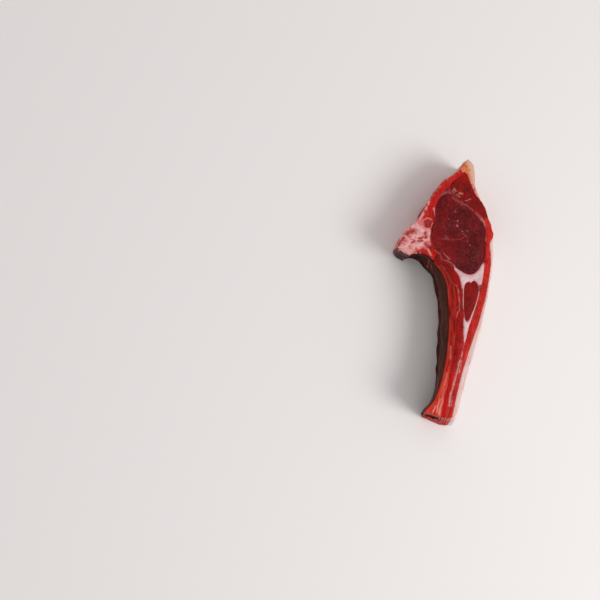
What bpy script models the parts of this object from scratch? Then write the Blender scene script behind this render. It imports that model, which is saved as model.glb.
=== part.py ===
"""A raw lamb rib chop, lying flat on one of its two cut faces.

The chop is a slice through the rib cage, so each muscle, bone and layer of fat that shows on the
upper cut face runs through the whole thickness. The upper face is drawn once, as outlines in
millimetres. Each tissue is its outline made into a solid, trimmed to the chop's own outer surface,
and cut clear of the tissues drawn before it.

Axes: +Z up from the table, +Y from the tail of the rib to the tip of the backbone.
The origin is under the middle of the chop, on the table.
"""

import math

import bmesh
import bpy
from mathutils import Vector, noise

# ---------------------------------------------------------------- driving dimensions, in metres
CHOP_LENGTH = 0.1437  # tip of the backbone to the tail, on the upper cut face
CHOP_THICKNESS = 0.025
SEAM_GAP = 0.00025  # clearance between one tissue and the next

# ---------------------------------------------------------------- the drawing's scale
DRAWN_LENGTH = 143.7  # the same length as drawn below
METRES = CHOP_LENGTH / DRAWN_LENGTH  # metres to each drawn millimetre
THICK = CHOP_THICKNESS / METRES
GAP = SEAM_GAP / METRES
OUTLINE_STEP = 2.0  # facet length along the chop's outer surface
TISSUE_STEP = 1.7  # facet length along a muscle's edge
OVERSHOOT = 3.0  # how far a tissue's solid passes the cut faces before it is trimmed

# ---------------------------------------------------------------- outer edge of the upper cut face
# Runs meet at corners, clockwise from the tip of the backbone.
OUTER_FAT_UPPER = [(12.6, 74.1), (15.9, 69.0), (16.9, 57.2), (21.4, 47.0), (26.2, 32.4)]
OUTER_FAT_LOWER = [(26.2, 32.4), (26.0, 18.5), (23.3, 0.0), (17.4, -25.0), (9.3, -50.0), (3.6, -69.6)]
TAIL_END = [(3.6, -69.6), (-4.6, -68.6), (-12.9, -65.7)]
INNER_WALL = [(-12.9, -65.7), (-7.2, -59.4), (-3.4, -49.5), (0.3, -33.0), (1.5, -14.0), (-0.6, 6.9),
              (-9.4, 19.5)]
CHINE_UNDERSIDE = [(-9.4, 19.5), (-15.5, 22.0), (-20.6, 19.8)]
CHINE_END = [(-20.6, 19.8), (-24.2, 21.7), (-27.5, 25.0)]
SAWN_BACK = [(-27.5, 25.0), (-22.5, 33.6), (-15.4, 40.4), (-9.4, 50.9), (-1.1, 61.3), (6.4, 66.6),
             (12.6, 74.1)]

# Each run's character: (run, edge radius, bulge at half height, bulge low down, how far the foot
# draws in, depth of the crags)
OUTER_RUNS = [
    (OUTER_FAT_UPPER, 1.1, 0.8, 0.0, 0.0, 0.15),
    (OUTER_FAT_LOWER, 1.0, 1.3, 0.2, 0.0, 0.15),
    (TAIL_END, 0.6, -0.9, 1.1, 0.0, 0.25),
    (INNER_WALL, 0.5, -0.2, 0.9, 0.0, 0.10),
    (CHINE_UNDERSIDE, 0.5, 0.2, 0.0, 0.0, 0.55),
    (CHINE_END, 0.5, 0.3, 0.0, 0.6, 0.60),
    (SAWN_BACK, 0.4, 0.0, 0.0, 2.0, 0.30),
]
CRAG_SIZE = 2.6
OUTER_HEIGHTS = [0.0, 0.35, 1.2, 5.0, 9.5, 14.0, 19.0, THICK - 1.2, THICK - 0.35, THICK]

# The rib stands out of the inner wall: (height above the table, how far). It is rounded below.
RIB_UNDERSIDE = 9.2
RIB_STANDS_OUT = [(0.0, -0.9), (9.0, -0.9), (9.6, -0.3), (10.6, 0.35), (12.6, 0.75), (19.0, 0.75),
                  (THICK - 1.2, 0.6), (THICK - 0.35, 0.45), (THICK, 0.3)]

# ---------------------------------------------------------------- tissues of the upper cut face
EYE = [(0.6, 54.7), (8.0, 50.1), (16.6, 42.0), (20.9, 34.1), (20.9, 20.6), (17.2, 12.0), (12.2, 9.6),
       (5.5, 13.5), (-4.6, 21.6), (-7.6, 30.5), (-5.4, 40.5), (-4.3, 49.0)]
CAP = [(10.4, 66.2), (13.2, 60.8), (16.9, 52.9), (23.0, 47.0), (22.9, 40.9), (15.4, 45.8),
       (3.4, 56.2), (4.4, 60.6)]
ISLAND = [(10.1, 2.6), (11.9, 5.0), (13.4, 4.3), (15.2, 5.6), (17.2, 2.0), (16.0, -4.8),
          (13.5, -11.3), (10.8, -16.4), (9.7, -8.6)]
SIDE_SPUR = [(21.7, 44.3), (24.5, 39.3), (27.4, 32.4)]  # the small point on the chop's outer edge
SIDE_OUTER = [(27.4, 32.4), (24.0, 26.6), (24.4, 16.5), (21.8, 0.5), (16.8, -18.0), (9.8, -38.0),
              (4.8, -55.0), (0.5, -74.0)]
SIDE_INNER = [(-1.4, -74.0), (2.8, -56.0), (7.3, -39.5), (12.3, -20.4), (17.6, -4.1), (21.0, 11.3),
              (22.6, 31.0), (21.3, 42.9)]
MEAT_INNER = [(-8.2, 25.0), (-2.2, 17.6), (6.5, 8.0), (8.5, -9.0), (7.6, -30.0), (3.0, -50.0),
              (-0.4, -63.0), (-2.9, -74.0)]
MEAT_WALL = [(-17.0, -74.0), (-8.0, -52.0), (-3.0, -22.0), (-3.5, 0.0), (-8.5, 13.0), (-12.5, 17.5)]
RIB_INNER = [(-5.5, 20.6), (1.9, 11.3), (4.7, -4.0), (4.0, -27.0), (0.2, -47.5), (-2.6, -60.0),
             (-4.6, -74.0)]
RIB_WALL = [(-19.0, -74.0), (-10.2, -60.0), (-6.2, -49.5), (-2.7, -33.0), (-1.5, -14.0),
            (-3.4, 5.9), (-8.0, 14.3)]
BACKBONE_INNER = [(9.1, 66.0), (1.9, 59.6), (-4.6, 51.0), (-6.7, 41.5), (-9.1, 30.0), (-7.2, 21.5)]
BACKBONE_OUTSIDE = [(-7.0, 19.6), (-9.5, 15.5), (-24.0, 15.0), (-33.0, 24.0), (-24.0, 42.0),
                    (-2.0, 66.0), (6.5, 71.5)]
CAP_MIDDLE = [(20.2, 42.6), (14.0, 50.0), (8.0, 57.5), (9.2, 64.0)]
FAT_TIP = [(6.0, 68.6), (10.2, 64.5), (14.0, 55.0), (21.5, 49.0), (26.0, 58.0), (20.0, 78.0),
           (8.0, 78.0)]
FAT_OUTSIDE = [(2.0, -77.0), (14.0, -72.0), (32.0, -10.0), (29.0, 33.5)]

# ---------------------------------------------------------------- how the section drifts downwards
# The ribs lean, so the lower cut face isn't right under the upper one at the tail and the tip.
TAIL_DRIFT = Vector((4.8, -8.5))
TAIL_DRIFT_FROM = -22.0
TAIL_DRIFT_TO = -70.0
TIP_DRIFT = Vector((1.6, 1.6))
TIP_DRIFT_FROM = 28.0
TIP_DRIFT_TO = 72.0

# ---------------------------------------------------------------- colours, linear
DARK_LEAN = (0.135, 0.018, 0.020)
RED_LEAN = (0.330, 0.018, 0.018)
FAT = (0.760, 0.560, 0.500)
SEAM_FAT = (0.690, 0.520, 0.530)
BONE = (0.560, 0.170, 0.150)


def smooth_share(value, low, high):
    """0 before low and 1 past high, with an easy start and end between them."""
    share = min(1.0, max(0.0, (value - low) / (high - low)))
    return share * share * (3.0 - 2.0 * share)


def drifted(point, height):
    """Where a point of the upper cut face is at this height above the table."""
    below = (THICK - height) / THICK
    tail = smooth_share(point.y, TAIL_DRIFT_FROM, TAIL_DRIFT_TO)
    tip = smooth_share(point.y, TIP_DRIFT_FROM, TIP_DRIFT_TO)
    return point + below * (tail * TAIL_DRIFT + tip * TIP_DRIFT)


def smooth_line(points, closed=False, samples=12):
    """A curve through the points, as many short straight pieces."""
    knots = [Vector(p) for p in points]
    if closed:
        knots = [knots[-1], *knots, knots[0], knots[1]]
    else:
        knots = [2 * knots[0] - knots[1], *knots, 2 * knots[-1] - knots[-2]]
    line = []
    for before, start, end, after in zip(knots, knots[1:], knots[2:], knots[3:]):
        for i in range(samples):
            t = i / samples
            line.append(0.5 * (2 * start + (end - before) * t
                               + (2 * before - 5 * start + 4 * end - after) * t ** 2
                               + (3 * start - before - 3 * end + after) * t ** 3))
    if not closed:
        line.append(knots[-2])
    return line


def even_steps(line, step, closed=False):
    """Points a step apart along a line, with both its ends kept unless it is closed."""
    path = [*line, line[0]] if closed else list(line)
    length = sum((b - a).length for a, b in zip(path, path[1:]))
    count = max(2, round(length / step))
    spaced, walked, place = [path[0]], 0.0, 1
    for a, b in zip(path, path[1:]):
        reach = walked + (b - a).length
        while place < count and place * length / count <= reach:
            spaced.append(a.lerp(b, (place * length / count - walked) / (b - a).length))
            place += 1
        walked = reach
    if not closed:
        spaced.append(path[-1])
    return spaced


def joined_runs(*runs, step=TISSUE_STEP):
    """A closed outline from smooth runs that follow one another, each with its corners kept."""
    outline = []
    for run in runs:
        outline += even_steps(smooth_line(run), step)
    return outline


def closed_outline(points, step=TISSUE_STEP):
    return even_steps(smooth_line(points, closed=True), step, closed=True)


def counterclockwise(outline):
    area = sum(a.x * b.y - b.x * a.y for a, b in zip(outline, outline[1:] + outline[:1]))
    return outline if area > 0 else outline[::-1]


def outward(outline):
    """The way out of a counterclockwise outline at each of its points, longer at a sharp corner."""
    directions = []
    for before, here, after in zip(outline[-1:] + outline[:-1], outline, outline[1:] + outline[:1]):
        come, go = (here - before).normalized(), (after - here).normalized()
        middle = Vector((come.y + go.y, -come.x - go.x)).normalized()
        directions.append(middle / max(0.55, middle.dot(Vector((go.y, -go.x)))))
    return directions


def shifted(run, distance):
    """A run of points moved to its left, seen along the run."""
    moved = []
    points = [Vector(p) for p in run]
    for i, point in enumerate(points):
        along = (points[min(i + 1, len(points) - 1)] - points[max(i - 1, 0)]).normalized()
        moved.append(point + distance * Vector((-along.y, along.x)))
    return moved


def add_solid(name, layers):
    """A closed mesh object from rings of points: layers is [(height, ring)], lowest first."""
    bm = bmesh.new()
    rings = []
    for height, ring in layers:
        places = [drifted(point, height) for point in ring]
        rings.append([bm.verts.new((p.x * METRES, p.y * METRES, height * METRES)) for p in places])
    for lower, upper in zip(rings, rings[1:]):
        for i in range(len(lower)):
            j = (i + 1) % len(lower)
            bm.faces.new((lower[i], lower[j], upper[j], upper[i]))
    bm.faces.new(rings[0][::-1])
    bm.faces.new(rings[-1])
    bmesh.ops.triangulate(bm, faces=[f for f in bm.faces if len(f.verts) == 4])
    mesh = bpy.data.meshes.new(name)
    bm.to_mesh(mesh)
    bm.free()
    solid = bpy.data.objects.new(name, mesh)
    bpy.context.scene.collection.objects.link(solid)
    return solid


def tissue_layers(outline, bottom, grown=0.0):
    """Rings for a tissue's solid, from its bottom to over the upper cut face."""
    outline = counterclockwise(outline)
    ring = [point + grown * direction for point, direction in zip(outline, outward(outline))]
    return [(bottom - grown, ring), (THICK + OVERSHOOT, ring)]


def bulge(height, half_height_bulge, low_bulge):
    """How far the outer surface stands out at this height, before its edges are rounded."""
    share = height / THICK
    return (half_height_bulge * math.sin(math.pi * share)
            + low_bulge * math.sin(math.pi * min(1.0, share / 0.55)))


def edge_rounding(height, radius):
    """How far a rounded edge draws in near either cut face."""
    depth = min(height, THICK - height)
    return 0.0 if depth >= radius else radius - math.sqrt(radius ** 2 - (radius - depth) ** 2)


def outer_layers(wall_stands_out=()):
    """Rings of the chop's whole outer surface, with the inner wall moved out where that is given."""
    outline, manner = [], []
    for run, radius, half_bulge, low_bulge, foot_in, crag in OUTER_RUNS:
        points = even_steps(smooth_line(run), OUTLINE_STEP)[:-1]
        extra = 1.0 if run is INNER_WALL else 0.0
        outline += points
        manner += [(radius, half_bulge, low_bulge, foot_in, crag, extra)] * len(points)
    outline, manner = outline[::-1], manner[::-1]
    directions = outward(outline)
    count = len(outline)
    blend = [[sum(manner[(i + k) % count][j] for k in (-1, 0, 1)) / 3 for j in range(6)]
             for i in range(count)]
    extra_at = dict(wall_stands_out)
    layers = []
    for height in sorted(extra_at) or OUTER_HEIGHTS:
        ring = []
        for point, direction, (radius, half_bulge, low_bulge, foot_in, crag, extra) in zip(
                outline, directions, blend):
            place = Vector((point.x, point.y, height)) / CRAG_SIZE
            out = (bulge(height, half_bulge, low_bulge) - edge_rounding(height, radius)
                   - foot_in * (THICK - height) / THICK + crag * noise.noise(place)
                   + extra * extra_at.get(height, 0.0))
            ring.append(point + out * direction)
        layers.append((height, ring))
    return layers


def as_tool(solid):
    """Marks a solid that only trims or cuts others."""
    solid.hide_render = True
    solid.display_type = "WIRE"
    return solid


def apply_boolean(solid, operation, other):
    modifier = solid.modifiers.new(operation.lower() + "_" + other.name, "BOOLEAN")
    modifier.operation = operation
    modifier.solver = "EXACT"
    modifier.object = other


def material(name, colour, roughness):
    made = bpy.data.materials.new(name)
    made.use_nodes = True
    surface = made.node_tree.nodes["Principled BSDF"]
    surface.inputs["Base Color"].default_value = (*colour, 1.0)
    surface.inputs["Roughness"].default_value = roughness
    surface.inputs["Metallic"].default_value = 0.0
    made.diffuse_color = (*colour, 1.0)
    return made


def clear_scene():
    for thing in list(bpy.data.objects):
        bpy.data.objects.remove(thing)


def tissue_outlines():
    """Each tissue's closed outline, in the order in which they take their room."""
    backbone = joined_runs(BACKBONE_INNER, BACKBONE_OUTSIDE)
    rib = joined_runs(RIB_INNER, RIB_WALL)
    seam = joined_runs(shifted(BACKBONE_INNER, -0.8), shifted(MEAT_INNER[1:], -0.8),
                       shifted(SIDE_INNER, -0.8), CAP_MIDDLE)
    return {
        "eye_muscle": closed_outline(EYE),
        "cap_muscle": closed_outline(CAP),
        "island_muscle": closed_outline(ISLAND, step=1.2),
        "side_muscle": joined_runs(SIDE_SPUR, SIDE_OUTER, SIDE_INNER),
        "backbone": backbone,
        "rib_bone": rib,
        "rib_meat": joined_runs(MEAT_INNER, MEAT_WALL),
        "fat_tip": joined_runs(FAT_TIP),
        "fat_cover": joined_runs(shifted(SIDE_OUTER[1:], -1.0), FAT_OUTSIDE),
        "seam_fat": seam,
    }


# Which earlier tissues each tissue is cut clear of.
CLEAR_OF = {
    "side_muscle": ["cap_muscle"],
    "rib_bone": ["backbone"],
    "rib_meat": ["backbone", "rib_bone"],
    "fat_tip": ["cap_muscle", "backbone"],
    "fat_cover": ["side_muscle"],
    "seam_fat": ["eye_muscle", "cap_muscle", "island_muscle", "side_muscle", "backbone", "rib_bone",
                 "rib_meat", "fat_tip"],
}


def centre_over_origin(tissues):
    """Hangs the tissues on one empty, so that the origin is under the middle of their box."""
    bpy.context.view_layer.update()
    graph = bpy.context.evaluated_depsgraph_get()
    corners = [Vector(c) for t in tissues for c in t.evaluated_get(graph).bound_box]
    middle = [(min(c[i] for c in corners) + max(c[i] for c in corners)) / 2 for i in (0, 1)]
    holder = bpy.data.objects.new("chop", None)
    bpy.context.scene.collection.objects.link(holder)
    holder.location = (-middle[0], -middle[1], 0.0)
    for thing in bpy.data.objects:
        if thing is not holder:
            thing.parent = holder


def build_chop():
    clear_scene()
    finishes = {
        "eye_muscle": material("dark_lean", DARK_LEAN, 0.38),
        "cap_muscle": material("lean", RED_LEAN, 0.38),
        "fat_cover": material("outer_fat", FAT, 0.45),
        "seam_fat": material("seam_fat", SEAM_FAT, 0.42),
        "backbone": material("bone", BONE, 0.45),
    }
    finishes["island_muscle"] = finishes["eye_muscle"]
    finishes["side_muscle"] = finishes["rib_meat"] = finishes["cap_muscle"]
    finishes["fat_tip"] = finishes["fat_cover"]
    finishes["rib_bone"] = finishes["backbone"]

    surface = as_tool(add_solid("outer_surface", outer_layers()))
    rib_surface = as_tool(add_solid("rib_surface", outer_layers(RIB_STANDS_OUT)))
    outlines = tissue_outlines()
    room = {}
    tissues = []
    for name, outline in outlines.items():
        bottom = RIB_UNDERSIDE if name == "rib_bone" else -OVERSHOOT
        tissue = add_solid(name, tissue_layers(outline, bottom))
        tissue.data.materials.append(finishes[name])
        apply_boolean(tissue, "INTERSECT", rib_surface if name == "rib_bone" else surface)
        for earlier in CLEAR_OF.get(name, []):
            apply_boolean(tissue, "DIFFERENCE", room[earlier])
        tissues.append(tissue)
        room[name] = as_tool(add_solid("room_for_" + name, tissue_layers(outline, bottom, GAP)))
    centre_over_origin(tissues)


build_chop()
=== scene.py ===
# %% [markdown]
# # A raw lamb rib chop
#
# A rib chop is one slice through a lamb's rib cage, so its cut face is a map of tissues: a dark
# round eye of lean, thinner strips of lean around it, white fat between them, a sawn backbone on
# one side and a long curved rib. The solids already hold each tissue at its real size. This
# script gives each one its skin: fine relief, the stains and threads of real meat, and a moist
# surface.

# %% Load the solids
import itertools

import bmesh
import bpy
import numpy as np
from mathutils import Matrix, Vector
from mathutils.bvhtree import BVHTree


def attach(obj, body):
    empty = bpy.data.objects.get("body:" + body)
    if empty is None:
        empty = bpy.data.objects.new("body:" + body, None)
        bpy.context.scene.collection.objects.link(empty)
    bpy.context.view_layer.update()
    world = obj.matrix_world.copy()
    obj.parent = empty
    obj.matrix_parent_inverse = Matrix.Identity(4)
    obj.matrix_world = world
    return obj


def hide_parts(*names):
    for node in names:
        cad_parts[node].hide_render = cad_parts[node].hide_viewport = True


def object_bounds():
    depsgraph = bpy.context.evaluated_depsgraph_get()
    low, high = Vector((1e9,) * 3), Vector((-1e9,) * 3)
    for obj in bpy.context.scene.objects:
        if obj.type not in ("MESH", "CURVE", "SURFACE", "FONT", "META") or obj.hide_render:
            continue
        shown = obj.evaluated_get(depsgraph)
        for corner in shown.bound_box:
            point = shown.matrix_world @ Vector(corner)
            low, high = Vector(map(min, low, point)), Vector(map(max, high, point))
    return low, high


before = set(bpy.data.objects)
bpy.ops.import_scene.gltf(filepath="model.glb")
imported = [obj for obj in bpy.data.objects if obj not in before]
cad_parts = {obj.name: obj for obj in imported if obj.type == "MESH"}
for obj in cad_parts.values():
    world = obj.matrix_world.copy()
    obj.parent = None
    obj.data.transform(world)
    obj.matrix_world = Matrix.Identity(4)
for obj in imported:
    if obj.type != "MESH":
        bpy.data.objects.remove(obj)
cad_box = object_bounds()
MM = 0.001
THICK = (cad_box[1][2] - cad_box[0][2]) / MM
print("chop box in mm:", [round(v / MM, 1) for v in cad_box[1] - cad_box[0]])

# %% [markdown]
# ## Camera, light and floor
#
# Photographs of food on a tray are often taken from straight above and rather near, which makes
# the walls that face the middle of the picture show. The camera hangs to the left of the chop,
# so the chop sits at the right of the frame and its inner wall shows. One large soft light from
# the right leaves that wall in shadow and gives the moist lean a few small glints. A little more
# contrast than the plain view transform gives the reds the depth that a printed photograph has.


# %% Camera
def aim(thing, target):
    """Turns a camera or light to look at a target, with +Y up in its picture."""
    thing.rotation_euler = (Vector(target) - thing.location).to_track_quat("-Z", "Y").to_euler()


def new_object(name, data):
    """An object in the scene that shows some data."""
    thing = bpy.data.objects.new(name, data)
    bpy.context.scene.collection.objects.link(thing)
    return thing


CAMERA_AT = (-0.0810, -0.0144, 0.311)
CAMERA_TARGET = (-0.0810, -0.0034, 0.025)

camera_data = bpy.data.cameras.new("camera")
camera_data.lens = 31.2
camera_data.sensor_width = 36.0
camera_data.clip_start = 0.01
camera = new_object("camera", camera_data)
camera.location = CAMERA_AT
aim(camera, CAMERA_TARGET)
bpy.context.scene.camera = camera
print("camera", round((camera.location - Vector(CAMERA_TARGET)).length / MM), "mm from the chop's cut face")

# %% Light and floor
scene = bpy.context.scene
scene.view_settings.view_transform = "Standard"
scene.view_settings.look = "Medium High Contrast"

world = bpy.data.worlds.new("studio")
world.use_nodes = True
backdrop = world.node_tree.nodes["Background"].inputs
backdrop["Color"].default_value = (1.0, 0.975, 0.965, 1.0)
backdrop["Strength"].default_value = 0.55
scene.world = world

light_data = bpy.data.lights.new("key_light", "AREA")
light_data.shape = "DISK"
light_data.size = 0.76
light_data.energy = 6.6
light_data.color = (1.0, 0.985, 0.965)
key_light = new_object("key_light", light_data)
key_light.location = (0.80, -0.38, 0.86)
aim(key_light, (0, 0, 0.012))

bpy.ops.mesh.primitive_plane_add(size=6.0, location=(0, 0, -0.0002))
floor = bpy.context.object
floor.name = "floor"
floor_paint = bpy.data.materials.new("pale_floor")
floor_paint.use_nodes = True
floor_surface = floor_paint.node_tree.nodes["Principled BSDF"]
floor_surface.inputs["Base Color"].default_value = (0.84, 0.82, 0.82, 1.0)
floor_surface.inputs["Roughness"].default_value = 0.75
floor.data.materials.append(floor_paint)

# %% [markdown]
# ## A skin for each tissue
#
# A solid has few and large facets, so it can't carry the fine unevenness of meat. Voxel
# remeshing wraps a new skin of small, even facets around a copy of the solid. Each copy is first
# grown sideways a little, so that neighbours press against each other as real tissues do,
# without the narrow gap that the solids keep between them. The facets are smallest on the round
# muscles and the sawn bone, which show the finest detail.

# %% Grown copies and fine skins
LEAN = ["eye_muscle", "cap_muscle", "island_muscle", "side_muscle", "rib_meat"]
FAT = ["fat_tip", "fat_cover", "seam_fat"]
BONE = ["backbone", "rib_bone"]
NODES = LEAN + FAT + BONE
GROWTH = 0.36
NEAR_CUT = 0.1
FACET = {"eye_muscle": 0.32, "cap_muscle": 0.32, "island_muscle": 0.30, "side_muscle": 0.40,
         "rib_meat": 0.40, "fat_tip": 0.36, "fat_cover": 0.40, "seam_fat": 0.43, "backbone": 0.32,
         "rib_bone": 0.34}


def grown_copy(node):
    """A solid's mesh, merged and grown sideways; the cut faces keep their height."""
    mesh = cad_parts[node].data.copy()
    mesh.materials.clear()
    bm = bmesh.new()
    bm.from_mesh(mesh)
    bmesh.ops.remove_doubles(bm, verts=bm.verts, dist=1e-6)
    bm.normal_update()
    for vert, out in [(v, v.normal.copy()) for v in bm.verts]:
        if min(vert.co.z, THICK * MM - vert.co.z) < NEAR_CUT * MM:
            out.z = 0
        if out.length > 0.2:
            vert.co += out.normalized() * GROWTH * MM
    bm.to_mesh(mesh)
    bm.free()
    return mesh


def modified_mesh(thing):
    """A plain mesh of what an object's modifiers make."""
    graph = bpy.context.evaluated_depsgraph_get()
    return bpy.data.meshes.new_from_object(thing.evaluated_get(graph))


def fine_skin(name, mesh, facet):
    """An object whose mesh is an even net of small facets around a closed mesh."""
    thing = new_object(name, mesh)
    remesh = thing.modifiers.new("fine skin", "REMESH")
    remesh.mode = "VOXEL"
    remesh.voxel_size = facet * MM
    remesh.use_smooth_shade = True
    fine = modified_mesh(thing)
    thing.modifiers.clear()
    thing.data = fine
    return thing


def points_of(mesh):
    """A mesh's points and outward directions, in millimetres."""
    count = len(mesh.vertices)
    at, out = np.empty(count * 3, np.float32), np.empty(count * 3, np.float32)
    mesh.vertices.foreach_get("co", at)
    mesh.vertex_normals.foreach_get("vector", out)
    return at.reshape(-1, 3).astype(float) / MM, out.reshape(-1, 3).astype(float)


grown = {node: grown_copy(node) for node in NODES}
skins = {node: fine_skin(node + "_skin", grown[node], FACET[node]) for node in NODES}
print("facets:", {n: len(s.data.polygons) for n, s in skins.items()})

# %% [markdown]
# ## Measuring the neighbours
#
# Meat changes near its borders: fat is stained pink by the lean that it touches, lean swells away
# from the fat that holds it, and the chop's outer edge is rounded. So each point of a skin needs
# to know how far away the nearest lean, fat, bone and outer wall are. A bounding-volume tree
# answers that quickly for several hundred thousand points. The outer walls come from all the
# grown copies melted into one.

# %% Distances to other tissues
FAR = 8.0


def distance_to(points, nodes):
    """How far each point is from the nearest of some solids, up to FAR, in millimetres."""
    verts, faces = [], []
    for mesh in (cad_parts[node].data for node in nodes):
        faces += [[len(verts) + i for i in p.vertices] for p in mesh.polygons]
        verts += [v.co / MM for v in mesh.vertices]
    nearest = BVHTree.FromPolygons(verts, faces).find_nearest
    found = (nearest(p, FAR)[3] for p in points)
    return np.array([FAR if d is None else d for d in found])


# %% The outer walls
WHOLE_FACET = 0.5
UPRIGHT = 0.5


def merged(name, meshes):
    """One mesh out of several."""
    bm = bmesh.new()
    for mesh in meshes:
        bm.from_mesh(mesh)
    whole = bpy.data.meshes.new(name)
    bm.to_mesh(whole)
    bm.free()
    return whole


whole_chop = fine_skin("melted_chop", merged("melted_chop", grown.values()), WHOLE_FACET)
walls = [list(p.vertices) for p in whole_chop.data.polygons if abs(p.normal.z) < UPRIGHT]
outer_walls = BVHTree.FromPolygons([v.co / MM for v in whole_chop.data.vertices], walls)
print("faces on the outer walls:", len(walls))


def rim_of(points):
    """How far each point is from the outer walls, and the way the nearest wall faces."""
    found = [outer_walls.find_nearest(p) for p in points]
    return np.array([f[3] for f in found]), np.array([f[1] for f in found])


# %% [markdown]
# ## Noise with a grain
#
# Gradient noise gives smooth random hills of a chosen size. It works on the points themselves,
# and a seed picks the pattern, so every run makes the same chop. Summed in ever smaller sizes it
# makes the mixed unevenness of natural things.


# %% Gradient noise
SLOPES = np.random.default_rng(7).normal(size=(256, 3))
SLOPES /= np.linalg.norm(SLOPES, axis=1)[:, None]
SHUFFLE = np.random.default_rng(11).permutation(256)
SEED_SHIFT = 19.37
FULL_HEIGHT = 1.7


def hills(points, size, seed=0):
    """Smooth noise of about -1 to 1 with hills of a given size in millimetres."""
    scaled = points / size + seed * SEED_SHIFT
    cell = np.floor(scaled).astype(int)
    part = scaled - cell
    ease = part ** 3 * (part * (part * 6 - 15) + 10)
    total = np.zeros(len(points))
    for corner in itertools.product((0, 1), repeat=3):
        x, y, z = (cell + corner).T & 255
        slope = SLOPES[SHUFFLE[(SHUFFLE[(SHUFFLE[x] + y) & 255] + z) & 255]]
        share = np.prod(np.where(corner, ease, 1 - ease), axis=1)
        total += share * np.sum((part - corner) * slope, axis=1)
    return total * FULL_HEIGHT


def rough_hills(points, size, seed=0, layers=3):
    """Noise summed in ever smaller sizes."""
    return sum(hills(points, size / 2 ** k, seed + k) / 2 ** k for k in range(layers))


def rise(value, low, high):
    """0 at low and 1 at high, with a smooth step between; low may be above high."""
    share = np.clip((value - low) / (high - low), 0, 1)
    return share * share * (3 - 2 * share)


def bell(value, width, middle=0.0):
    """1 at a middle value, fading to 0 over a width on both sides."""
    return np.exp(-((value - middle) / width) ** 2)


def nudge(at, size, seed, amount=1.0):
    """Smooth random shifts across the drawing, in millimetres."""
    return amount * np.column_stack([hills(at, size, seed), hills(at, size, seed + 1)])


# %% [markdown]
# ## The drawing of the cut face
#
# Flecks, threads and blotches are part of what makes one chop look like itself, so they are drawn
# once, as short lines in millimetres on the upper cut face. The ribs lean, so lower down in the
# chop the same drawing lies a little further along. Following that drift back from any point
# tells which part of the drawing it belongs to, and so the marks run through the chop as its
# tissues do.

# %% Drift of the section
DRAWN_AT = np.array([-0.34, -0.37])
TAIL_DRIFT, TAIL_FROM, TAIL_TO = np.array([4.8, -8.5]), -20.3, -68.3
TIP_DRIFT, TIP_FROM, TIP_TO = np.array([1.6, 1.6]), 29.7, 73.7
ROUNDS = 4


def section_of(at):
    """Where each point of the chop lies on the drawing of the upper cut face."""
    below = (1 - at[:, 2] / THICK)[:, None]
    drawn = at[:, :2] - DRAWN_AT
    for _ in range(ROUNDS):
        tail = rise(drawn[:, 1], TAIL_FROM, TAIL_TO)[:, None]
        tip = rise(drawn[:, 1], TIP_FROM, TIP_TO)[:, None]
        drawn = at[:, :2] - DRAWN_AT - below * (tail * TAIL_DRIFT + tip * TIP_DRIFT)
    return drawn


# %% Distances to drawn lines
def distance_to_line(flat, line):
    """How far points on the drawing are from a line of straight pieces."""
    least = np.full(len(flat), np.inf)
    for start, end in zip(np.array(line[:-1]), np.array(line[1:])):
        along = end - start
        share = np.clip(((flat - start) @ along) / (along @ along), 0, 1)
        least = np.minimum(least, np.linalg.norm(flat - start - share[:, None] * along, axis=1))
    return least


def marked(flat, marks):
    """How strongly points are marked: 1 on a mark's line, fading over the mark's width."""
    return np.max([bell(distance_to_line(flat, line), width) for width, line in marks], axis=0)


# %% Marks on the lean: (width, line)
SILVERSKIN = [(-2.4, 55.2), (0.0, 56.4), (3.1, 56.4), (6.3, 54.2), (9.4, 50.9), (13.7, 47.6),
              (17.3, 44.6), (20.4, 41.4), (22.0, 37.4)]
EYE_FLECKS = [(0.22, [(5.1, 46.1), (5.4, 45.6)]), (0.24, [(6.7, 41.0), (6.4, 40.4)]),
              (0.32, [(6.1, 38.3), (6.4, 37.8)]), (0.20, [(9.0, 35.2), (9.4, 34.9)]),
              (0.20, [(1.6, 42.0), (1.9, 41.7)]), (0.22, [(13.2, 27.5), (13.5, 27.2)])]
FAINT_THREADS = [(0.20, [(-4.3, 30.8), (0.0, 30.8), (4.3, 30.2), (7.8, 30.4), (11.4, 32.4)]),
                 (0.7, [(-0.3, 32.4), (0.4, 30.8)]), (0.18, [(9.6, 34.0), (12.2, 31.6), (12.0, 28.6)]),
                 (0.16, [(-2.0, 38.2), (0.6, 35.8)]), (0.5, [(11.6, 35.6), (12.2, 34.9)]),
                 (0.9, [(4.6, 53.8), (8.8, 50.4)])]
CAP_THREADS = [(0.36, [(4.6, 58.8), (6.0, 57.6)]), (0.30, [(3.6, 57.8), (5.0, 56.6)]),
               (0.42, [(7.8, 56.4), (9.4, 56.0)]), (0.28, [(6.4, 55.6), (8.0, 54.2)]),
               (0.18, [(11.0, 52.0), (14.1, 53.2)])]
EYE_EDGE = [(0.30, [(-3.9, 19.4), (-0.4, 19.0), (2.3, 17.5), (5.1, 15.2), (6.7, 13.6)]),
            (0.24, [(-5.8, 51.6), (-4.6, 53.6), (-3.1, 55.6), (-1.1, 56.2)]),
            (0.20, [(-6.2, 24.6), (-3.4, 22.4), (-2.4, 19.6)]), (0.18, [(-1.6, 22.8), (1.8, 19.4)])]
MEAT_THREADS = [(0.24, [(-0.4, 12.7), (1.6, 10.0), (2.7, 7.2), (4.7, 4.9)]),
                (0.22, [(5.5, 5.3), (6.7, 1.4), (7.1, -5.7)]),
                (0.20, [(5.5, -7.5), (7.1, -6.3), (6.9, -9.3)]), (0.18, [(6.1, -9.6), (5.3, -12.8)]),
                (0.20, [(-3.4, 16.8), (-1.0, 14.6), (0.6, 11.8)])]
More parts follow.
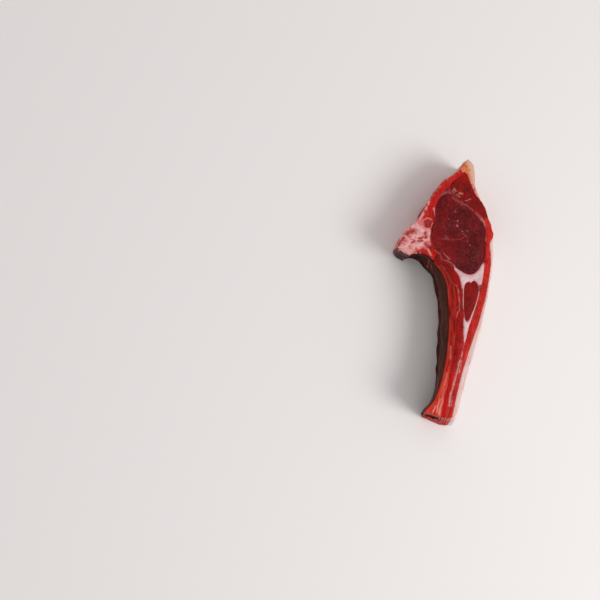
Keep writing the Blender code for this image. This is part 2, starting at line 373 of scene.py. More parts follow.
TAIL_STREAK = [(0.62, [(7.2, -36.0), (5.3, -43.0), (3.4, -49.6)]),
               (0.55, [(3.4, -49.6), (1.7, -54.6), (0.6, -60.8)]),
               (0.40, [(8.6, -31.5), (7.6, -38.0), (6.4, -43.4)]), (0.28, [(2.6, -56.0), (1.6, -61.0)])]
REDDER_EYE = [(4.0, [(-5.5, 32.5), (-3.5, 27.5), (-1.5, 22.5), (1.5, 19.0)]),
              (1.7, [(1.2, 30.6), (3.0, 29.8)])]
LEAN_MARKS = EYE_FLECKS + CAP_THREADS + EYE_EDGE + MEAT_THREADS + TAIL_STREAK

# %% Marks on the bone and fat
PEACH_EDGE = [(1.0, [(20.0, 42.2), (21.6, 39.9), (23.2, 36.7), (23.6, 33.6), (22.0, 30.0)])]
RIB_STREAKS = [(0.5, [(2.0, -28.5), (1.6, -35.2)]),
               (0.55, [(-0.3, -43.2), (-1.3, -47.6), (-1.9, -50.2)]),
               (0.50, [(-2.1, -51.6), (-2.8, -54.6), (-3.1, -58.4), (-4.0, -61.6), (-4.5, -65.0)]),
               (0.40, [(-4.2, -57.0), (-5.4, -60.4), (-6.0, -64.6)]),
               (0.35, [(-6.6, -61.0), (-8.2, -64.2)]),
               (0.35, [(-1.6, -60.8), (-1.7, -65.4)]), (0.60, [(-4.4, -62.6), (-4.7, -65.6)])]
VESSEL = (-10.2, 39.6)
VESSEL_RADIUS = 2.7
VESSEL_ARC = [(0.38, [(-6.2, 47.7), (-5.6, 44.2), (-5.2, 40.2), (-5.8, 37.9), (-7.4, 35.9)])]
CHINE_PALE = [(1.3, [(-18.4, 37.9), (-16.0, 37.9), (-13.7, 35.1)]), (0.8, [(-12.5, 45.4), (-14.5, 41.8)]),
              (1.3, [(-9.2, 34.3), (-8.9, 33.7)]), (1.4, [(-21.5, 24.9), (-20.4, 22.6), (-19.6, 20.6)]),
              (1.4, [(-18.0, 26.9), (-15.3, 27.7), (-13.3, 28.5)]), (0.45, [(-10.1, 25.3), (-8.4, 21.8)]),
              (0.9, [(-18.4, 32.0), (-15.6, 33.2)]), (1.2, [(-21.6, 27.6), (-20.4, 29.4)])]
CHINE_RED = [(1.4, [(-21.5, 34.0), (-19.6, 35.1), (-17.6, 35.5)]), (0.5, [(-14.9, 31.2), (-12.9, 31.6)]),
             (0.55, [(-18.9, 29.0), (-17.4, 29.6)]), (1.1, [(-11.7, 28.5), (-10.1, 26.9), (-8.6, 26.1)]),
             (1.0, [(-26.3, 27.7), (-25.1, 29.6), (-23.5, 31.6)]), (0.7, [(-11.4, 34.6), (-11.0, 31.8)]),
             (0.5, [(-15.6, 29.8), (-13.0, 29.9)])]
SPECKS = [(0.5, [(-0.6, 64.2), (-1.1, 63.4)]), (0.6, [(-8.9, 51.6), (-9.5, 50.2)]),
          (0.6, [(-10.4, 48.6), (-11.0, 47.2)])]
TIP_AMBER = [(1.25, [(11.9, 71.6), (12.3, 67.4), (12.9, 63.6)])]
TIP_RED = [(0.40, [(13.7, 69.2), (13.8, 69.0)]), (0.36, [(16.2, 63.7), (16.4, 63.5)]),
           (0.50, [(16.2, 58.9), (16.4, 58.0)]), (0.8, [(8.8, 70.8), (10.4, 72.6)]),
           (0.34, [(11.4, 71.6), (11.6, 71.2)]), (0.30, [(14.9, 60.9), (15.0, 60.5)])]


def from_vessel(flat, at):
    """How far points are from the middle of the open vessel, whose circle is made uneven."""
    swayed = flat + nudge(at * (1, 1, 0.3), 3.0, 13, 0.45)
    return np.linalg.norm(swayed - VESSEL, axis=1)


print("marks drawn:", len(LEAN_MARKS + FAINT_THREADS + CHINE_PALE + CHINE_RED + RIB_STREAKS + SPECKS))

# %% [markdown]
# ## Relief
#
# The two cut faces and the walls are shaped in different ways. On a cut face everything moves
# straight up or down: the lean swells into low cushions between the seams of fat, and the whole
# face has the gentle unevenness of a knife or saw cut. On a wall the points move outwards or
# inwards: fat is lumpy and creased, the membrane over the ribs is finely ridged along its length,
# and sawn bone is craggy and pitted. The outer edge is rounded, more on soft tissue than on bone.
# What lies on the table stays flat.


# %% Relief of the cut faces
def chine_relief(at, flat, inside):
    """The torn and craggy cut through the backbone, with its open vessel."""
    away = from_vessel(flat, at)
    vessel = (0.30 * bell(away, 0.5, VESSEL_RADIUS)
              - 0.8 * rise(away, VESSEL_RADIUS - 0.2, VESSEL_RADIUS - 1.4))
    craggy = 0.22 * rough_hills(at, 2.4, 9) + 0.24 * hills(at, 5.5, 10)
    torn = 0.40 * marked(flat, CHINE_PALE) - 0.55 * marked(flat, CHINE_RED) + 0.25 * marked(flat, VESSEL_ARC)
    return vessel + inside * (craggy + torn - 0.2 * rise(hills(at, 1.5, 12), 0.3, 0.7))


def face_relief(node, at, flat, edge, to_bone):
    """How far each point of a cut face stands up, in millimetres."""
    inside = rise(edge, 0.2, 1.4)
    if node in LEAN:
        cushion = (0.42 if node == "eye_muscle" else 0.24) * (1 - np.exp(-edge / 3.5))
        fibres = 0.07 * rough_hills(at, 1.5, 3, 2) + 0.10 * hills(at, 3.6, 4)
        return cushion + inside * fibres - 0.10 * rise(to_bone, 1.2, 0.2)
    if node in FAT:
        return 0.26 * inside - 0.16 + inside * 0.14 * rough_hills(at, 3.4, 5)
    if node == "rib_bone":
        along = np.column_stack([at[:, 0] + 0.35 * at[:, 1], at[:, 1] * 0.14, at[:, 2]])
        grooved = 0.06 * rough_hills(along, 1.3, 8) + 0.09 * rough_hills(at, 1.7, 7, 3)
        return 0.04 + inside * grooved + 0.12 * marked(flat, RIB_STREAKS)
    return chine_relief(at, flat, inside)


# %% The sawn back: a vertebra split along its middle
# The body and the spine are blocks: (middle along the back, middle height, half length, half height).
BACK_START = np.array([-27.2, 26.7])
BACK_AHEAD = np.array([0.637, 0.771])
BACK_OUT = np.array([-0.771, 0.637, 0.0])
BODY = (10.2, 12.6, 8.2, 8.4)
CANAL = (20.2, 26.0)
SPINE = (40.5, 13.0, 13.5, 6.0)


def block_depth(along, height, block, corner=3.6):
    """How deep points lie inside a block with round corners: negative outside it."""
    middle, level, half_length, half_height = block
    past = np.column_stack([np.abs(along - middle) - half_length, np.abs(height - level) - half_height])
    past += corner
    outside = np.linalg.norm(np.maximum(past, 0), axis=1)
    return corner - outside - np.minimum(past.max(axis=1), 0)


def back_plan(at, out, flat):
    """What the sawn back shows: (share of a point on it, depth in body, in spine, in canal)."""
    along = (flat - BACK_START) @ BACK_AHEAD
    on_it = rise(out @ BACK_OUT, 0.55, 0.8)
    shaken = along + 1.5 * rough_hills(at, 8.0, 57, 2)
    height = at[:, 2] + 1.3 * rough_hills(at, 7.0, 58, 2)
    waist = np.clip(1 - ((along - BODY[0]) / BODY[2]) ** 2, 0, 1)
    body = block_depth(shaken, BODY[1] + (height - BODY[1]) * (1 + 0.16 * waist), BODY)
    leaning = height - SPINE[1] - 0.14 * (along - SPINE[0])
    leaning = SPINE[1] + leaning * (1 + 0.35 * rise(along, 36, 56))
    spine = block_depth(shaken, leaning, SPINE, 5.4)
    middle, half = (CANAL[0] + CANAL[1]) / 2, (CANAL[1] - CANAL[0]) / 2
    canal = rise(np.abs(shaken - middle) / half, 1.0, 0.45) * rise(THICK - at[:, 2], 1.5, 4.5)
    return on_it, body, spine, canal


# %% Where the rib's sawn end is
TAIL_END = (-58, -61)
RING = 0.70
SQUARENESS = 2.6


def measure_rib_end(facing=-0.55):
    """Middle and half size of the rib's sawn end, across and upwards."""
    at, out = points_of(skins["rib_bone"].data)
    face = at[(out[:, 1] < facing) & (at[:, 1] < TAIL_END[0])][:, [0, 2]]
    low, high = face.min(axis=0), face.max(axis=0)
    return (low + high) / 2, (high - low) / 2


def on_tail_end(at, out, facing, beyond=TAIL_END):
    """1 on the sawn tail end of the chop, 0 elsewhere."""
    return rise(-out[:, 1], *facing) * rise(at[:, 1], *beyond)


# %% Relief of the rib's sawn end
def end_relief(at, out):
    """The rib's sawn end: a raised ring of hard bone around sunken marrow."""
    past = (np.abs(at[:, [0, 2]] - RIB_END) / RIB_END_HALF) ** SQUARENESS
    oval = past.sum(axis=1) ** (1 / SQUARENESS) + 0.16 * hills(at, 4.5, 34) + 0.05 * hills(at, 1.6, 35)
    ring = 0.30 * bell(oval, 0.10, RING) - 0.75 * rise(oval, 0.64, 0.46)
    return on_tail_end(at, out, (0.5, 0.8)), oval, ring + 0.14 * rough_hills(at, 1.4, 30, 2)


RIB_END, RIB_END_HALF = measure_rib_end()
print("rib end at", np.round(RIB_END, 1), "half size", np.round(RIB_END_HALF, 1))


# %% Relief of the walls
RIB_WALL = [(-12.6, -64.0), (-6.9, -57.7), (-3.1, -47.8), (0.6, -31.3), (1.8, -12.3), (-0.3, 8.6),
            (-9.1, 21.2)]
INNER_LINE = [*RIB_WALL, (-15.2, 23.7), (-20.3, 21.5), (-23.2, 22.6)]


def lined(out, flat):
    """1 where the membrane lines the ribs and the underside of the backbone, 0 elsewhere."""
    inward = np.maximum(-out[:, 0], -out[:, 1] * rise(flat[:, 1], 12, 17))
    return rise(distance_to_line(flat, INNER_LINE), 3.2, 2.4) * rise(inward, 0.25, 0.5)


def wall_relief(node, at, out, flat):
    """How far each point of an outer wall stands out, in millimetres."""
    if node in FAT:
        lumps = 0.34 * rough_hills(at * (1.0, 0.6, 0.8), 6.0, 21, 2)
        return lumps - 0.34 * bell(hills(at * (1.0, 0.7, 1.2), 7.5, 22), 0.07)
    under_film = 1 - lined(out, flat)
    if node in LEAN:
        ridges = 0.16 * rough_hills(at * (1.0, 0.16, 1.0), 1.6, 25, 2)
        return under_film * (0.22 * rough_hills(at, 4.0, 24, 2) + ridges)
    if node == "rib_bone":
        end, _, ring = end_relief(at, out)
        return end * ring + (1 - end) * under_film * 0.12 * rough_hills(at, 7.0, 28, 2)
    back, body, spine, canal = back_plan(at, out, flat)
    sponge = rise(np.maximum(body, spine), 0, 1)
    pits = rise(hills(at, 1.3, 33), 0.15, 0.6) * back * sponge
    craggy = under_film * (0.22 * rough_hills(at, 2.8, 31) + 0.30 * hills(at, 7.0, 32))
    return craggy - 0.45 * pits - 2.2 * back * canal - 0.25 * back * sponge


# %% Rounded edges
EDGE_RADIUS, LESS_AT_BONE = 1.15, 0.6


def rounded(gap, radius):
    """How far a point near an edge sinks and slides when the edge is rounded."""
    turn = np.clip(1 - gap / radius, 0, 1) * np.pi / 4
    slide = np.where(gap < radius, radius * (1 - np.sin(turn)) - gap, 0)
    return radius * (1 - np.cos(turn)), slide


# %% Where points lie on the chop
def bearings(at, out, to_bone):
    """Where points lie on the chop: on a cut face or an outer wall, and how near its rim."""
    rim, facing = rim_of(at)
    facing[:, 2] = 0
    top, bottom = rise(out[:, 2], 0.5, 0.85), rise(-out[:, 2], 0.5, 0.85)
    radius = (EDGE_RADIUS - LESS_AT_BONE * rise(to_bone, 2.5, 0)) * (1 + 0.4 * hills(at, 9.0, 41))
    radius *= 1 - 0.5 * rise(at[:, 1], 64, 71)
    return {"rim": rim, "facing": facing, "top": top, "bottom": bottom, "radius": radius,
            "wall": (1 - top - bottom) * rise(rim, 0.9, 0.3)}


# %% The form itself
def shared_form(at, out, where):
    """Points with the chop's edges rounded, its walls uneven and its borders swaying with depth."""
    top, bottom, wall = where["top"], where["bottom"], where["wall"]
    sink, slide = rounded(where["rim"], where["radius"])
    moved = at - where["facing"] * (slide * (top + bottom))[:, None]
    moved[:, 2] += (bottom - top) * sink
    for height, way in ((THICK - at[:, 2], -1), (at[:, 2], 1)):
        sink, slide = rounded(height, where["radius"])
        moved -= out * (1, 1, 0) * (wall * sink)[:, None]
        moved[:, 2] += way * wall * slide
    swell = 0.26 * rough_hills(at * (1, 1, 0), 15.0, 1, 2) - 0.18
    moved[:, 2] += top * (swell + 0.02 * hills(at * (0.25, 1.0, 0), 0.9, 2))
    moved += out * (wall * (0.30 * hills(at * (1, 1, 0.8), 13.0, 40) - GROWTH + 0.1))[:, None]
    sway = 0.20 + 0.75 * (1 - at[:, 2] / THICK)
    moved[:, :2] += sway[:, None] * nudge(at, 9.0, 61)
    return moved


# %% Numbers kept with the points
def keep(mesh, name, values):
    """Stores one number or direction for each point of a mesh, for nodes to read."""
    kind, label = ("FLOAT", "value") if values.ndim == 1 else ("FLOAT_VECTOR", "vector")
    stored = mesh.attributes.new(name, kind, "POINT")
    stored.data.foreach_set(label, values.astype(np.float32).ravel())


# %% Shape every skin
HIGHEST = THICK + 0.3


def settle(piece, moved):
    """Gives a piece its new points, none below the table or much above the cut."""
    moved[:, 2] = np.clip(moved[:, 2], 0, HIGHEST)
    piece.data.vertices.foreach_set("co", (moved * MM).astype(np.float32).ravel())
    piece.data.update()


def shape_skin(node, piece):
    """Gives a skin its relief, and returns what its materials need to know about each point."""
    at, out = points_of(piece.data)
    gaps = {kind: distance_to(at, [n for n in nodes if n != node])
            for kind, nodes in (("lean", LEAN), ("fat", FAT), ("bone", BONE))}
    edge = np.min(list(gaps.values()), axis=0)
    where = bearings(at, out, 0 * edge if node in BONE else gaps["bone"])
    flat = section_of(at)
    moved = shared_form(at, out, where)
    moved[:, 2] += where["top"] * face_relief(node, at, flat, edge, gaps["bone"])
    own = rise(edge, 0.3, 1.3) * wall_relief(node, at, out, flat)
    moved += out * (where["wall"] * own)[:, None]
    settle(piece, moved)
    return {**where, "at": at, "out": out, "flat": flat, "edge": edge, "to_lean": gaps["lean"],
            "cut": where["top"] + where["bottom"], "end": on_tail_end(at, out, (0.55, 0.8))}


facts = {node: shape_skin(node, piece) for node, piece in skins.items()}
print("points shaped:", sum(len(f["at"]) for f in facts.values()))

# %% [markdown]
# ## The lining of the ribs
#
# Inside the rib cage one thin membrane runs on over rib, meat and backbone, so no seam shows
# there. It is cut out of the melted chop's own surface, given the same form as the skins under
# it, and thickened to a third of a millimetre. It bulges gently over the rib, and its uneven
# border stops just short of the two cut faces and the sawn tail end.


# %% Thickening a film
def thicken(bm, thickness):
    """Gives an open film a second side, and closes it along its border."""
    bm.normal_update()
    inner = {v: bm.verts.new(v.co - v.normal * thickness) for v in bm.verts[:]}
    for face in bm.faces[:]:
        bm.faces.new([inner[v] for v in reversed(face.verts)])
    for edge in [e for e in bm.edges if e.is_boundary and e.verts[0] in inner]:
        first, second = edge.verts
        bm.faces.new([second, first, inner[first], inner[second]])
    bmesh.ops.recalc_face_normals(bm, faces=bm.faces)


# %% One membrane over the inner wall
RIB_LEVEL, RIB_HALF = 16.2, 7.6
FAR_FROM_BONE = 4.0
BORDER_ROUNDS = 3


def lining(whole, lift=0.14, thickness=0.34):
    """A closed film that lies on the inner wall."""
    at, out = points_of(whole.data)
    flat = section_of(at)
    ragged = lined(out, flat) + 0.25 * hills(at, 2.5, 71)
    height = rise(at[:, 2], 0.5, 0.8) * rise(THICK - at[:, 2], 0.35, 0.6)
    clear_of_end = 1 - on_tail_end(at, out, (0.35, 0.6), (-56, -60))
    wanted = (ragged * height * clear_of_end > 0.5).tolist()
    where = bearings(at, out, np.full(len(at), FAR_FROM_BONE))
    moved = shared_form(at, out, where)
    over_rib = np.clip(1 - ((at[:, 2] - RIB_LEVEL) / RIB_HALF) ** 2, 0, 1) * rise(flat[:, 1], 22, 14)
    ridges = 0.10 * rough_hills(at * (1.0, 0.14, 1.0), 1.5, 72, 2) + 0.14 * rough_hills(at, 6.0, 73, 2)
    ridges += 0.75 * over_rib
    settle(whole, moved + out * (where["wall"] * (lift + ridges))[:, None])
    keep(whole.data, "run", np.column_stack([flat, at[:, 2]]))
    bm = bmesh.new()
    bm.from_mesh(whole.data)
    bm.verts.ensure_lookup_table()
    for vert in [v for v in bm.verts if not wanted[v.index]]:
        bm.verts.remove(vert)
    bmesh.ops.delete(bm, geom=[v for v in bm.verts if not v.link_faces], context="VERTS")
    border = [v for v in bm.verts if v.is_boundary]
    for _ in range(BORDER_ROUNDS):
        bmesh.ops.smooth_vert(bm, verts=border, factor=0.5, use_axis_x=True, use_axis_y=True,
                              use_axis_z=True)
    thicken(bm, thickness * MM)
    bm.to_mesh(whole.data)
    bm.free()
    whole.data.polygons.foreach_set("use_smooth", [True] * len(whole.data.polygons))
    whole.name = "rib_lining"
    return whole


rib_lining = lining(whole_chop)
print("lining faces:", len(rib_lining.data.polygons))

# %% [markdown]
# ## What the materials need to know
#
# A material can't see its neighbours, so each skin carries a few masks of 0 to 1: where it was
# cut, where pale threads and red blotches lie, where the seam is white, where bone is compact,
# spongy or gristly, and where the rib's membrane covers it. The backbone's pale mask also holds
# a paler band of painted light along the top of its walls. The marks are nudged by noise first,
# which gives their edges a natural wobble.

# %% Masks for all tissues
RIB_LINE = [*RIB_WALL, (-27.0, 40.0), (-27.0, 75.0)]


def right_of(line, flat):
    """How far right of a line, drawn upwards, each point lies."""
    x, y = np.array(line).T
    return flat[:, 0] - np.interp(flat[:, 1], y, x)


def wobbled(fact, amount=0.25):
    """Places on the drawing, nudged a little."""
    return fact["flat"] + nudge(fact["at"], 1.2, 51, amount)


def general_masks(fact):
    """The masks of every skin, and how its points lie along the rib: across, along and up."""
    run = np.column_stack([right_of(RIB_LINE, fact["flat"]), fact["flat"][:, 1], fact["at"][:, 2]])
    return {"cut": fact["cut"], "to_lean": fact["to_lean"], "end": fact["end"], "run": run}


# %% Masks for lean
def lean_masks(node, fact):
    flat = wobbled(fact)
    x, y = flat.T
    fresh = np.full(len(flat), 0.30)
    if node == "eye_muscle":
        fresh = 0.12 + 0.62 * marked(flat, REDDER_EYE)
        fresh += 0.14 * rise(y, 44, 52) - 0.17 * rise(x, 0, 9) - 0.12 * rise(y, 27, 19)
    if node == "cap_muscle":
        fresh = 0.55 * rise(y, 60, 66) + 0.12 * rise(x, 15, 21)
    if node == "side_muscle":
        fresh = 0.30 + 0.3 * rise(y, 24, 34)
    if node == "rib_meat":
        fresh = 0.12 + 0.65 * rise(y, -25, -55)
    fresh = fresh + fact["end"] * (0.7 * rise(fact["edge"], 0.0, 2.2) - 0.2)
    pale = np.maximum(marked(flat, LEAN_MARKS), 0.3 * marked(flat, FAINT_THREADS))
    silver = fact["cut"] * marked(flat, [(0.5, SILVERSKIN)])
    return {"pale": fact["cut"] * pale, "fresh": fresh, "silver": silver}


# %% Masks for fat
# The white valley narrows towards the tail: (place along it, middle, half width).
VALLEY_END = np.array([(-28.0, 9.4, 0.0), (-23.3, 10.1, 0.9), (-17.3, 10.7, 1.6), (-15.1, 11.1, 2.4),
                       (-9.0, 11.0, 20.0)])
VALLEY_GAPS = [(1.7, [(18.8, 4.5), (19.4, -0.4)]), (1.0, [(8.6, 2.8), (8.6, -1.6)]),
               (0.8, [(9.2, -8.6), (9.4, -12.4)])]


def fat_masks(node, fact):
    flat = wobbled(fact)
    x, y = flat.T
    if node == "fat_tip":
        at = fact["at"]
        past_amber = right_of(TIP_AMBER[0][1][::-1], flat)
        orange = rise(past_amber + 0.5 * hills(at, 2.0, 47), 0.5, -1.0)
        upper = 0.25 + 0.75 * rise(at[:, 2] + 4 * hills(at, 5.0, 44), THICK - 9, THICK - 1)
        return {"amber": upper * marked(flat, TIP_AMBER), "orange": upper * orange,
                "rosy": rise(y, 66, 58), "blood": fact["cut"] * marked(flat, TIP_RED)}
    if node == "fat_cover":
        return {"blood": 0.6 * bell(fact["rim"], 0.35, 1.3) * fact["cut"] * rise(y, 12, 2)}
    middle, half = (np.interp(y, VALLEY_END[:, 0], VALLEY_END[:, i]) for i in (1, 2))
    valley = rise(y, 19, 14.5) * rise(x, 4.0, 5.6) * rise(half - np.abs(x - middle), -0.5, 0.4)
    valley *= (1 - 0.8 * marked(flat, VALLEY_GAPS)) * (1 - 0.38 * rise(y, -8, -20))
    peach = 0.55 * marked(flat, PEACH_EDGE)
    lines = 0.45 * marked(flat, EYE_EDGE) + 0.70 * marked(flat, TAIL_STREAK)
    silver = marked(flat, [(0.7, SILVERSKIN)]) * rise(x, 23, 19) * fact["cut"]
    return {"white": np.clip(valley + peach + lines, 0, 1), "peach": peach, "silver": silver,
            "fresh": rise(y, -5, -20)}


# %% Masks for the rib
def rib_masks(fact, flat):
    at, out, cut = fact["at"], fact["out"], fact["cut"]
    end, oval, _ = end_relief(at, out)
    end *= fact["wall"]
    y = flat[:, 1]
    hard_edge = np.maximum(0.8 * bell(fact["rim"], 0.4, 0.7), 0.25 * bell(fact["edge"], 0.3, 0.5))
    hard_edge *= cut * rise(hills(at * (1.0, 0.25, 1.0), 2.0, 59), -0.5, 0.3)
    ring = end * rise(np.abs(oval - RING), 0.11, 0.05) * (0.04 + 0.30 * rise(hills(at, 2.6, 46), -0.1, 0.4))
    around = end * rise(oval, 0.76, 0.84) * (0.75 + 0.5 * hills(at, 3.0, 45))
    return {"compact": 0.55 * hard_edge, "fresh": rise(y, -12, -62) - 0.5 * rise(y, 2, 14) - 0.8 * end,
            "marrow": end * rise(oval, 0.66, 0.58), "gristle": np.zeros(len(at)),
            "membrane": fact["wall"] * lined(out, fact["flat"]),
            "pale": cut * marked(flat, RIB_STREAKS) * (0.4 + 0.6 * rise(y, -54, -62)) + ring,
            "streaky": cut * (0.15 + 0.85 * rise(y, -30, -58)), "blood": np.clip(around, 0, 1)}


# %% Masks for the backbone
def backbone_masks(fact, flat):
    at, cut, wall = fact["at"], fact["cut"], fact["wall"]
    back, body, spine, canal = back_plan(at, fact["out"], fact["flat"])
    back = back * wall
    inside = rise(np.maximum(body, spine), 0.2, 0.9)
    broken = rise(hills(at, 3.0, 54), -0.45, 0.0)
    wide = 0.38 + 0.22 * hills(at, 4.0, 55)
    shell = np.maximum(bell(body, wide), 0.7 * bell(spine, wide)) * broken
    x, y = flat.T
    away = from_vessel(flat, at)
    chine = rise(x + 0.8 * hills(at, 4.0, 53), -7.0, -10.0) * rise(y, 43, 38.0)
    chine *= rise(away, VESSEL_RADIUS - 0.2, VESSEL_RADIUS + 0.6)
    chine *= np.maximum(rise(y + 1.2 * hills(at, 3.5, 64), 24.4, 26.6), rise(x, -15.8, -18.4))
    rim_bone = bell(fact["rim"], 0.8) * rise(hills(at, 2.4, 56), 0.15, 0.4) * rise(y, 38, 43)
    ring = bell(away, 0.40, VESSEL_RADIUS) * rise(hills(at, 1.6, 50), -0.6, 0.1)
    tendon = rise(rough_hills(at * (0.4, 0.4, 1.5), 4.0, 49), 0.10, 0.80)
    along = (fact["flat"] - BACK_START) @ BACK_AHEAD
    tough = back * (1 - inside) * np.maximum(rise(along + 1.5 * hills(at, 5.0, 48), 22, 19), 0.6 * tendon)
    hollow = rise(away, VESSEL_RADIUS, 1.6)
    ring = 0.6 * ring + 0.24 * hollow * rise(hills(at, 1.1, 60), -0.4, 0.5)
    pale = cut * np.maximum(marked(flat, CHINE_PALE + VESSEL_ARC + SPECKS), ring)
    # Painted light: the top 3 mm of the backbone's walls are made paler, in the gristle colour, to lift the
    # shade on those walls.
    upper = rise(at[:, 2] + 1.2 * hills(at, 4.0, 43), THICK - 3.2, THICK - 1.0)
    pale += 0.6 * wall * upper * (1 - back * inside)
    blood = np.maximum(marked(flat, CHINE_RED), hollow * (0.80 + 0.4 * hills(at, 1.8, 42)))
    return {"compact": np.clip(back * shell + 0.6 * cut * rim_bone, 0, 1), "marrow": back * inside,
            "gristle": np.clip(cut * chine + tough + back * canal, 0, 1),
            "membrane": wall * (1 - back) * rise(-fact["out"][:, 1], 0.1, 0.5),
            "pale": np.clip(pale, 0, 1), "streaky": 0.1 * cut, "blood": cut * blood, "fresh": 0.5 * cut}


# %% Store every mask
def bone_masks(node, fact):
    if node == "rib_bone":
        return rib_masks(fact, wobbled(fact, 0.14))
    return backbone_masks(fact, wobbled(fact, 0.4))


for node, piece in skins.items():
    own_masks = lean_masks if node in LEAN else fat_masks if node in FAT else bone_masks
    masks = {**general_masks(facts[node]), **own_masks(node, facts[node])}
    for name, values in masks.items():
        keep(piece.data, name, values)
    print(node, "masks:", ", ".join(masks))

# %% [markdown]
# ## Node helpers
#
# Each material is a small network. These helpers add one node, feed its sockets with numbers or
# other nodes, and hand back its output, so that the materials read almost like formulas. A socket
# knows the network that it is part of, so most helpers find their network from what they are fed.
# Every length in them is in millimetres.


# %% Nodes and what feeds them
def feed(sockets, feeds):
    """Links or sets named or numbered sockets."""
    for key, source in feeds.items():
        if isinstance(source, bpy.types.NodeSocket):
            source.id_data.links.new(source, sockets[key])
        else:
            sockets[key].default_value = source


def add(tree, kind, feeds=None, **settings):
    """A new node, with its settings made and its sockets fed."""
    made = tree.nodes.new(kind)
    for name, value in settings.items():
        setattr(made, name, value)
    feed(made.inputs, feeds or {})
    return made


def network_of(*feeds):
    """The network of the first socket among some feeds."""
    return next(f.id_data for f in feeds if isinstance(f, bpy.types.NodeSocket))


# %% Arithmetic in a network
def maths(operation, first, second=0.0):
    tree = network_of(first, second)
    return add(tree, "ShaderNodeMath", {0: first, 1: second}, operation=operation).outputs[0]


def times(first, second):
    return maths("MULTIPLY", first, second)


def vectors(operation, first, second):
    """Vector arithmetic; only SCALE takes a single number as its second value."""
    feeds = {0: first, "Scale" if operation == "SCALE" else 1: second}
    return add(network_of(first), "ShaderNodeVectorMath", feeds, operation=operation).outputs[0]


def step(value, low, high):
    """0 at low and 1 at high, with a smooth step between; low may be above high."""
    feeds = {"Value": value, "From Min": low, "From Max": high}
    made = add(network_of(value), "ShaderNodeMapRange", feeds, interpolation_type="SMOOTHSTEP")
    return made.outputs["Result"]


# %% Colours in a network
def blend(share, first, second, mode="MIX"):
    """Mixes two colours, each a node's output or three numbers."""
    first, second = ((*c, 1.0) if isinstance(c, tuple) else c for c in (first, second))
    feeds = {0: share, 6: first, 7: second}
    return add(network_of(share), "ShaderNodeMix", feeds, data_type="RGBA", blend_type=mode).outputs[2]


def layered(base, layers):
    """Lays tints over a colour: each layer is (mask or its name, share, tint), or names its mode too."""
    for mask, share, tint, *mode in layers:
        mask = number(base.id_data, mask) if isinstance(mask, str) else mask
        base = blend(times(mask, share), base, tint, *mode)
    return base


# %% Noise in a network
def clouds(where, size, detail=2.0, seed=0.0, warp=0.0):
    """Soft noise between 0 and 1, mostly near its middle."""
    feeds = {"Vector": where, "W": seed, "Scale": 1.0 / size, "Detail": detail, "Distortion": warp}
    return add(network_of(where), "ShaderNodeTexNoise", feeds, noise_dimensions="4D").outputs[0]


def patches(where, size, low, high, detail=3.0, seed=0.0, warp=0.0):
    """Clouds whose middle tones are stretched apart into patches of 0 and 1."""
    return step(clouds(where, size, detail, seed, warp), low, high)


def sized_noise(where, size, detail=2.0, warp=0.0):
    """The outputs of noise whose size comes from another node: a value and a direction."""
    feeds = {"Vector": where, "Scale": maths("DIVIDE", 1.0, size), "Detail": detail, "Distortion": warp}
    return add(network_of(where), "ShaderNodeTexNoise", feeds).outputs


def stretched(where, scale):
    return vectors("MULTIPLY", where, scale)


# %% Stored masks in a network
def number(tree, name):
    return add(tree, "ShaderNodeAttribute", attribute_name=name).outputs["Fac"]


def run_of(tree):
    """How a point lies along the rib: across, along and up."""
    return add(tree, "ShaderNodeAttribute", attribute_name="run").outputs["Vector"]


# %% Helpers for node groups
FLOAT, VECTOR, COLOUR = "NodeSocketFloat", "NodeSocketVector", "NodeSocketColor"


def new_group(name, inputs, outputs, kind="ShaderNodeTree"):
    """An empty node group with named sockets, and its two ends."""
    tree = bpy.data.node_groups.new(name, kind)
    for label, socket_kind, *value in inputs:
        socket = tree.interface.new_socket(label, in_out="INPUT", socket_type=socket_kind)
        if value:
            socket.default_value = value[0]
    for label, socket_kind in outputs:
        tree.interface.new_socket(label, in_out="OUTPUT", socket_type=socket_kind)
    return tree, tree.nodes.new("NodeGroupInput").outputs, tree.nodes.new("NodeGroupOutput").inputs


def placed(group, feeds):
    """One use of a node group, with its own values; hands back its outputs."""
    made = add(network_of(*feeds.values()), "ShaderNodeGroup", node_tree=group)
    feed(made.inputs, feeds)
    return made.outputs


# %% [markdown]
# ## Shared effects
#
# Four effects are used by more than one finish, so each is a node group. Branching threads are
# the thin pale marbling of lean, the tiny red veins of fat and the vessels in the membrane: they
# are the narrow band where a warped noise crosses its middle value. Cells are the fibre bundles
# of lean cut across its grain, the lobules of fat and the sponge of bone. The wet membrane covers
# the inside of the ribs. Its reds are darker than the membrane's own, as painted shade for the
# deep shadow on the inner wall. Below the rib they are darkened more, as painted shade under the
# rib's ridge, and its pale greyish patches of thicker film are partly painted sheen. A moist
# surface is small ripples and uneven gloss over whatever grain the finish has.

# %% Branching threads
threads, given, result = new_group(
    "branching threads",
    [("Where", VECTOR, (0, 0, 0)), ("Size", FLOAT, 4.0), ("Width", FLOAT, 0.02), ("Patches", FLOAT, 9.0)],
    [("Mask", FLOAT)])
warped = sized_noise(given["Where"], given["Size"], 2.5, 0.8)[0]
line = step(maths("ABSOLUTE", maths("SUBTRACT", warped, 0.5)), given["Width"], 0.0)
patch = step(sized_noise(given["Where"], given["Patches"])[0], 0.45, 0.62)
feed(result, {"Mask": times(line, patch)})

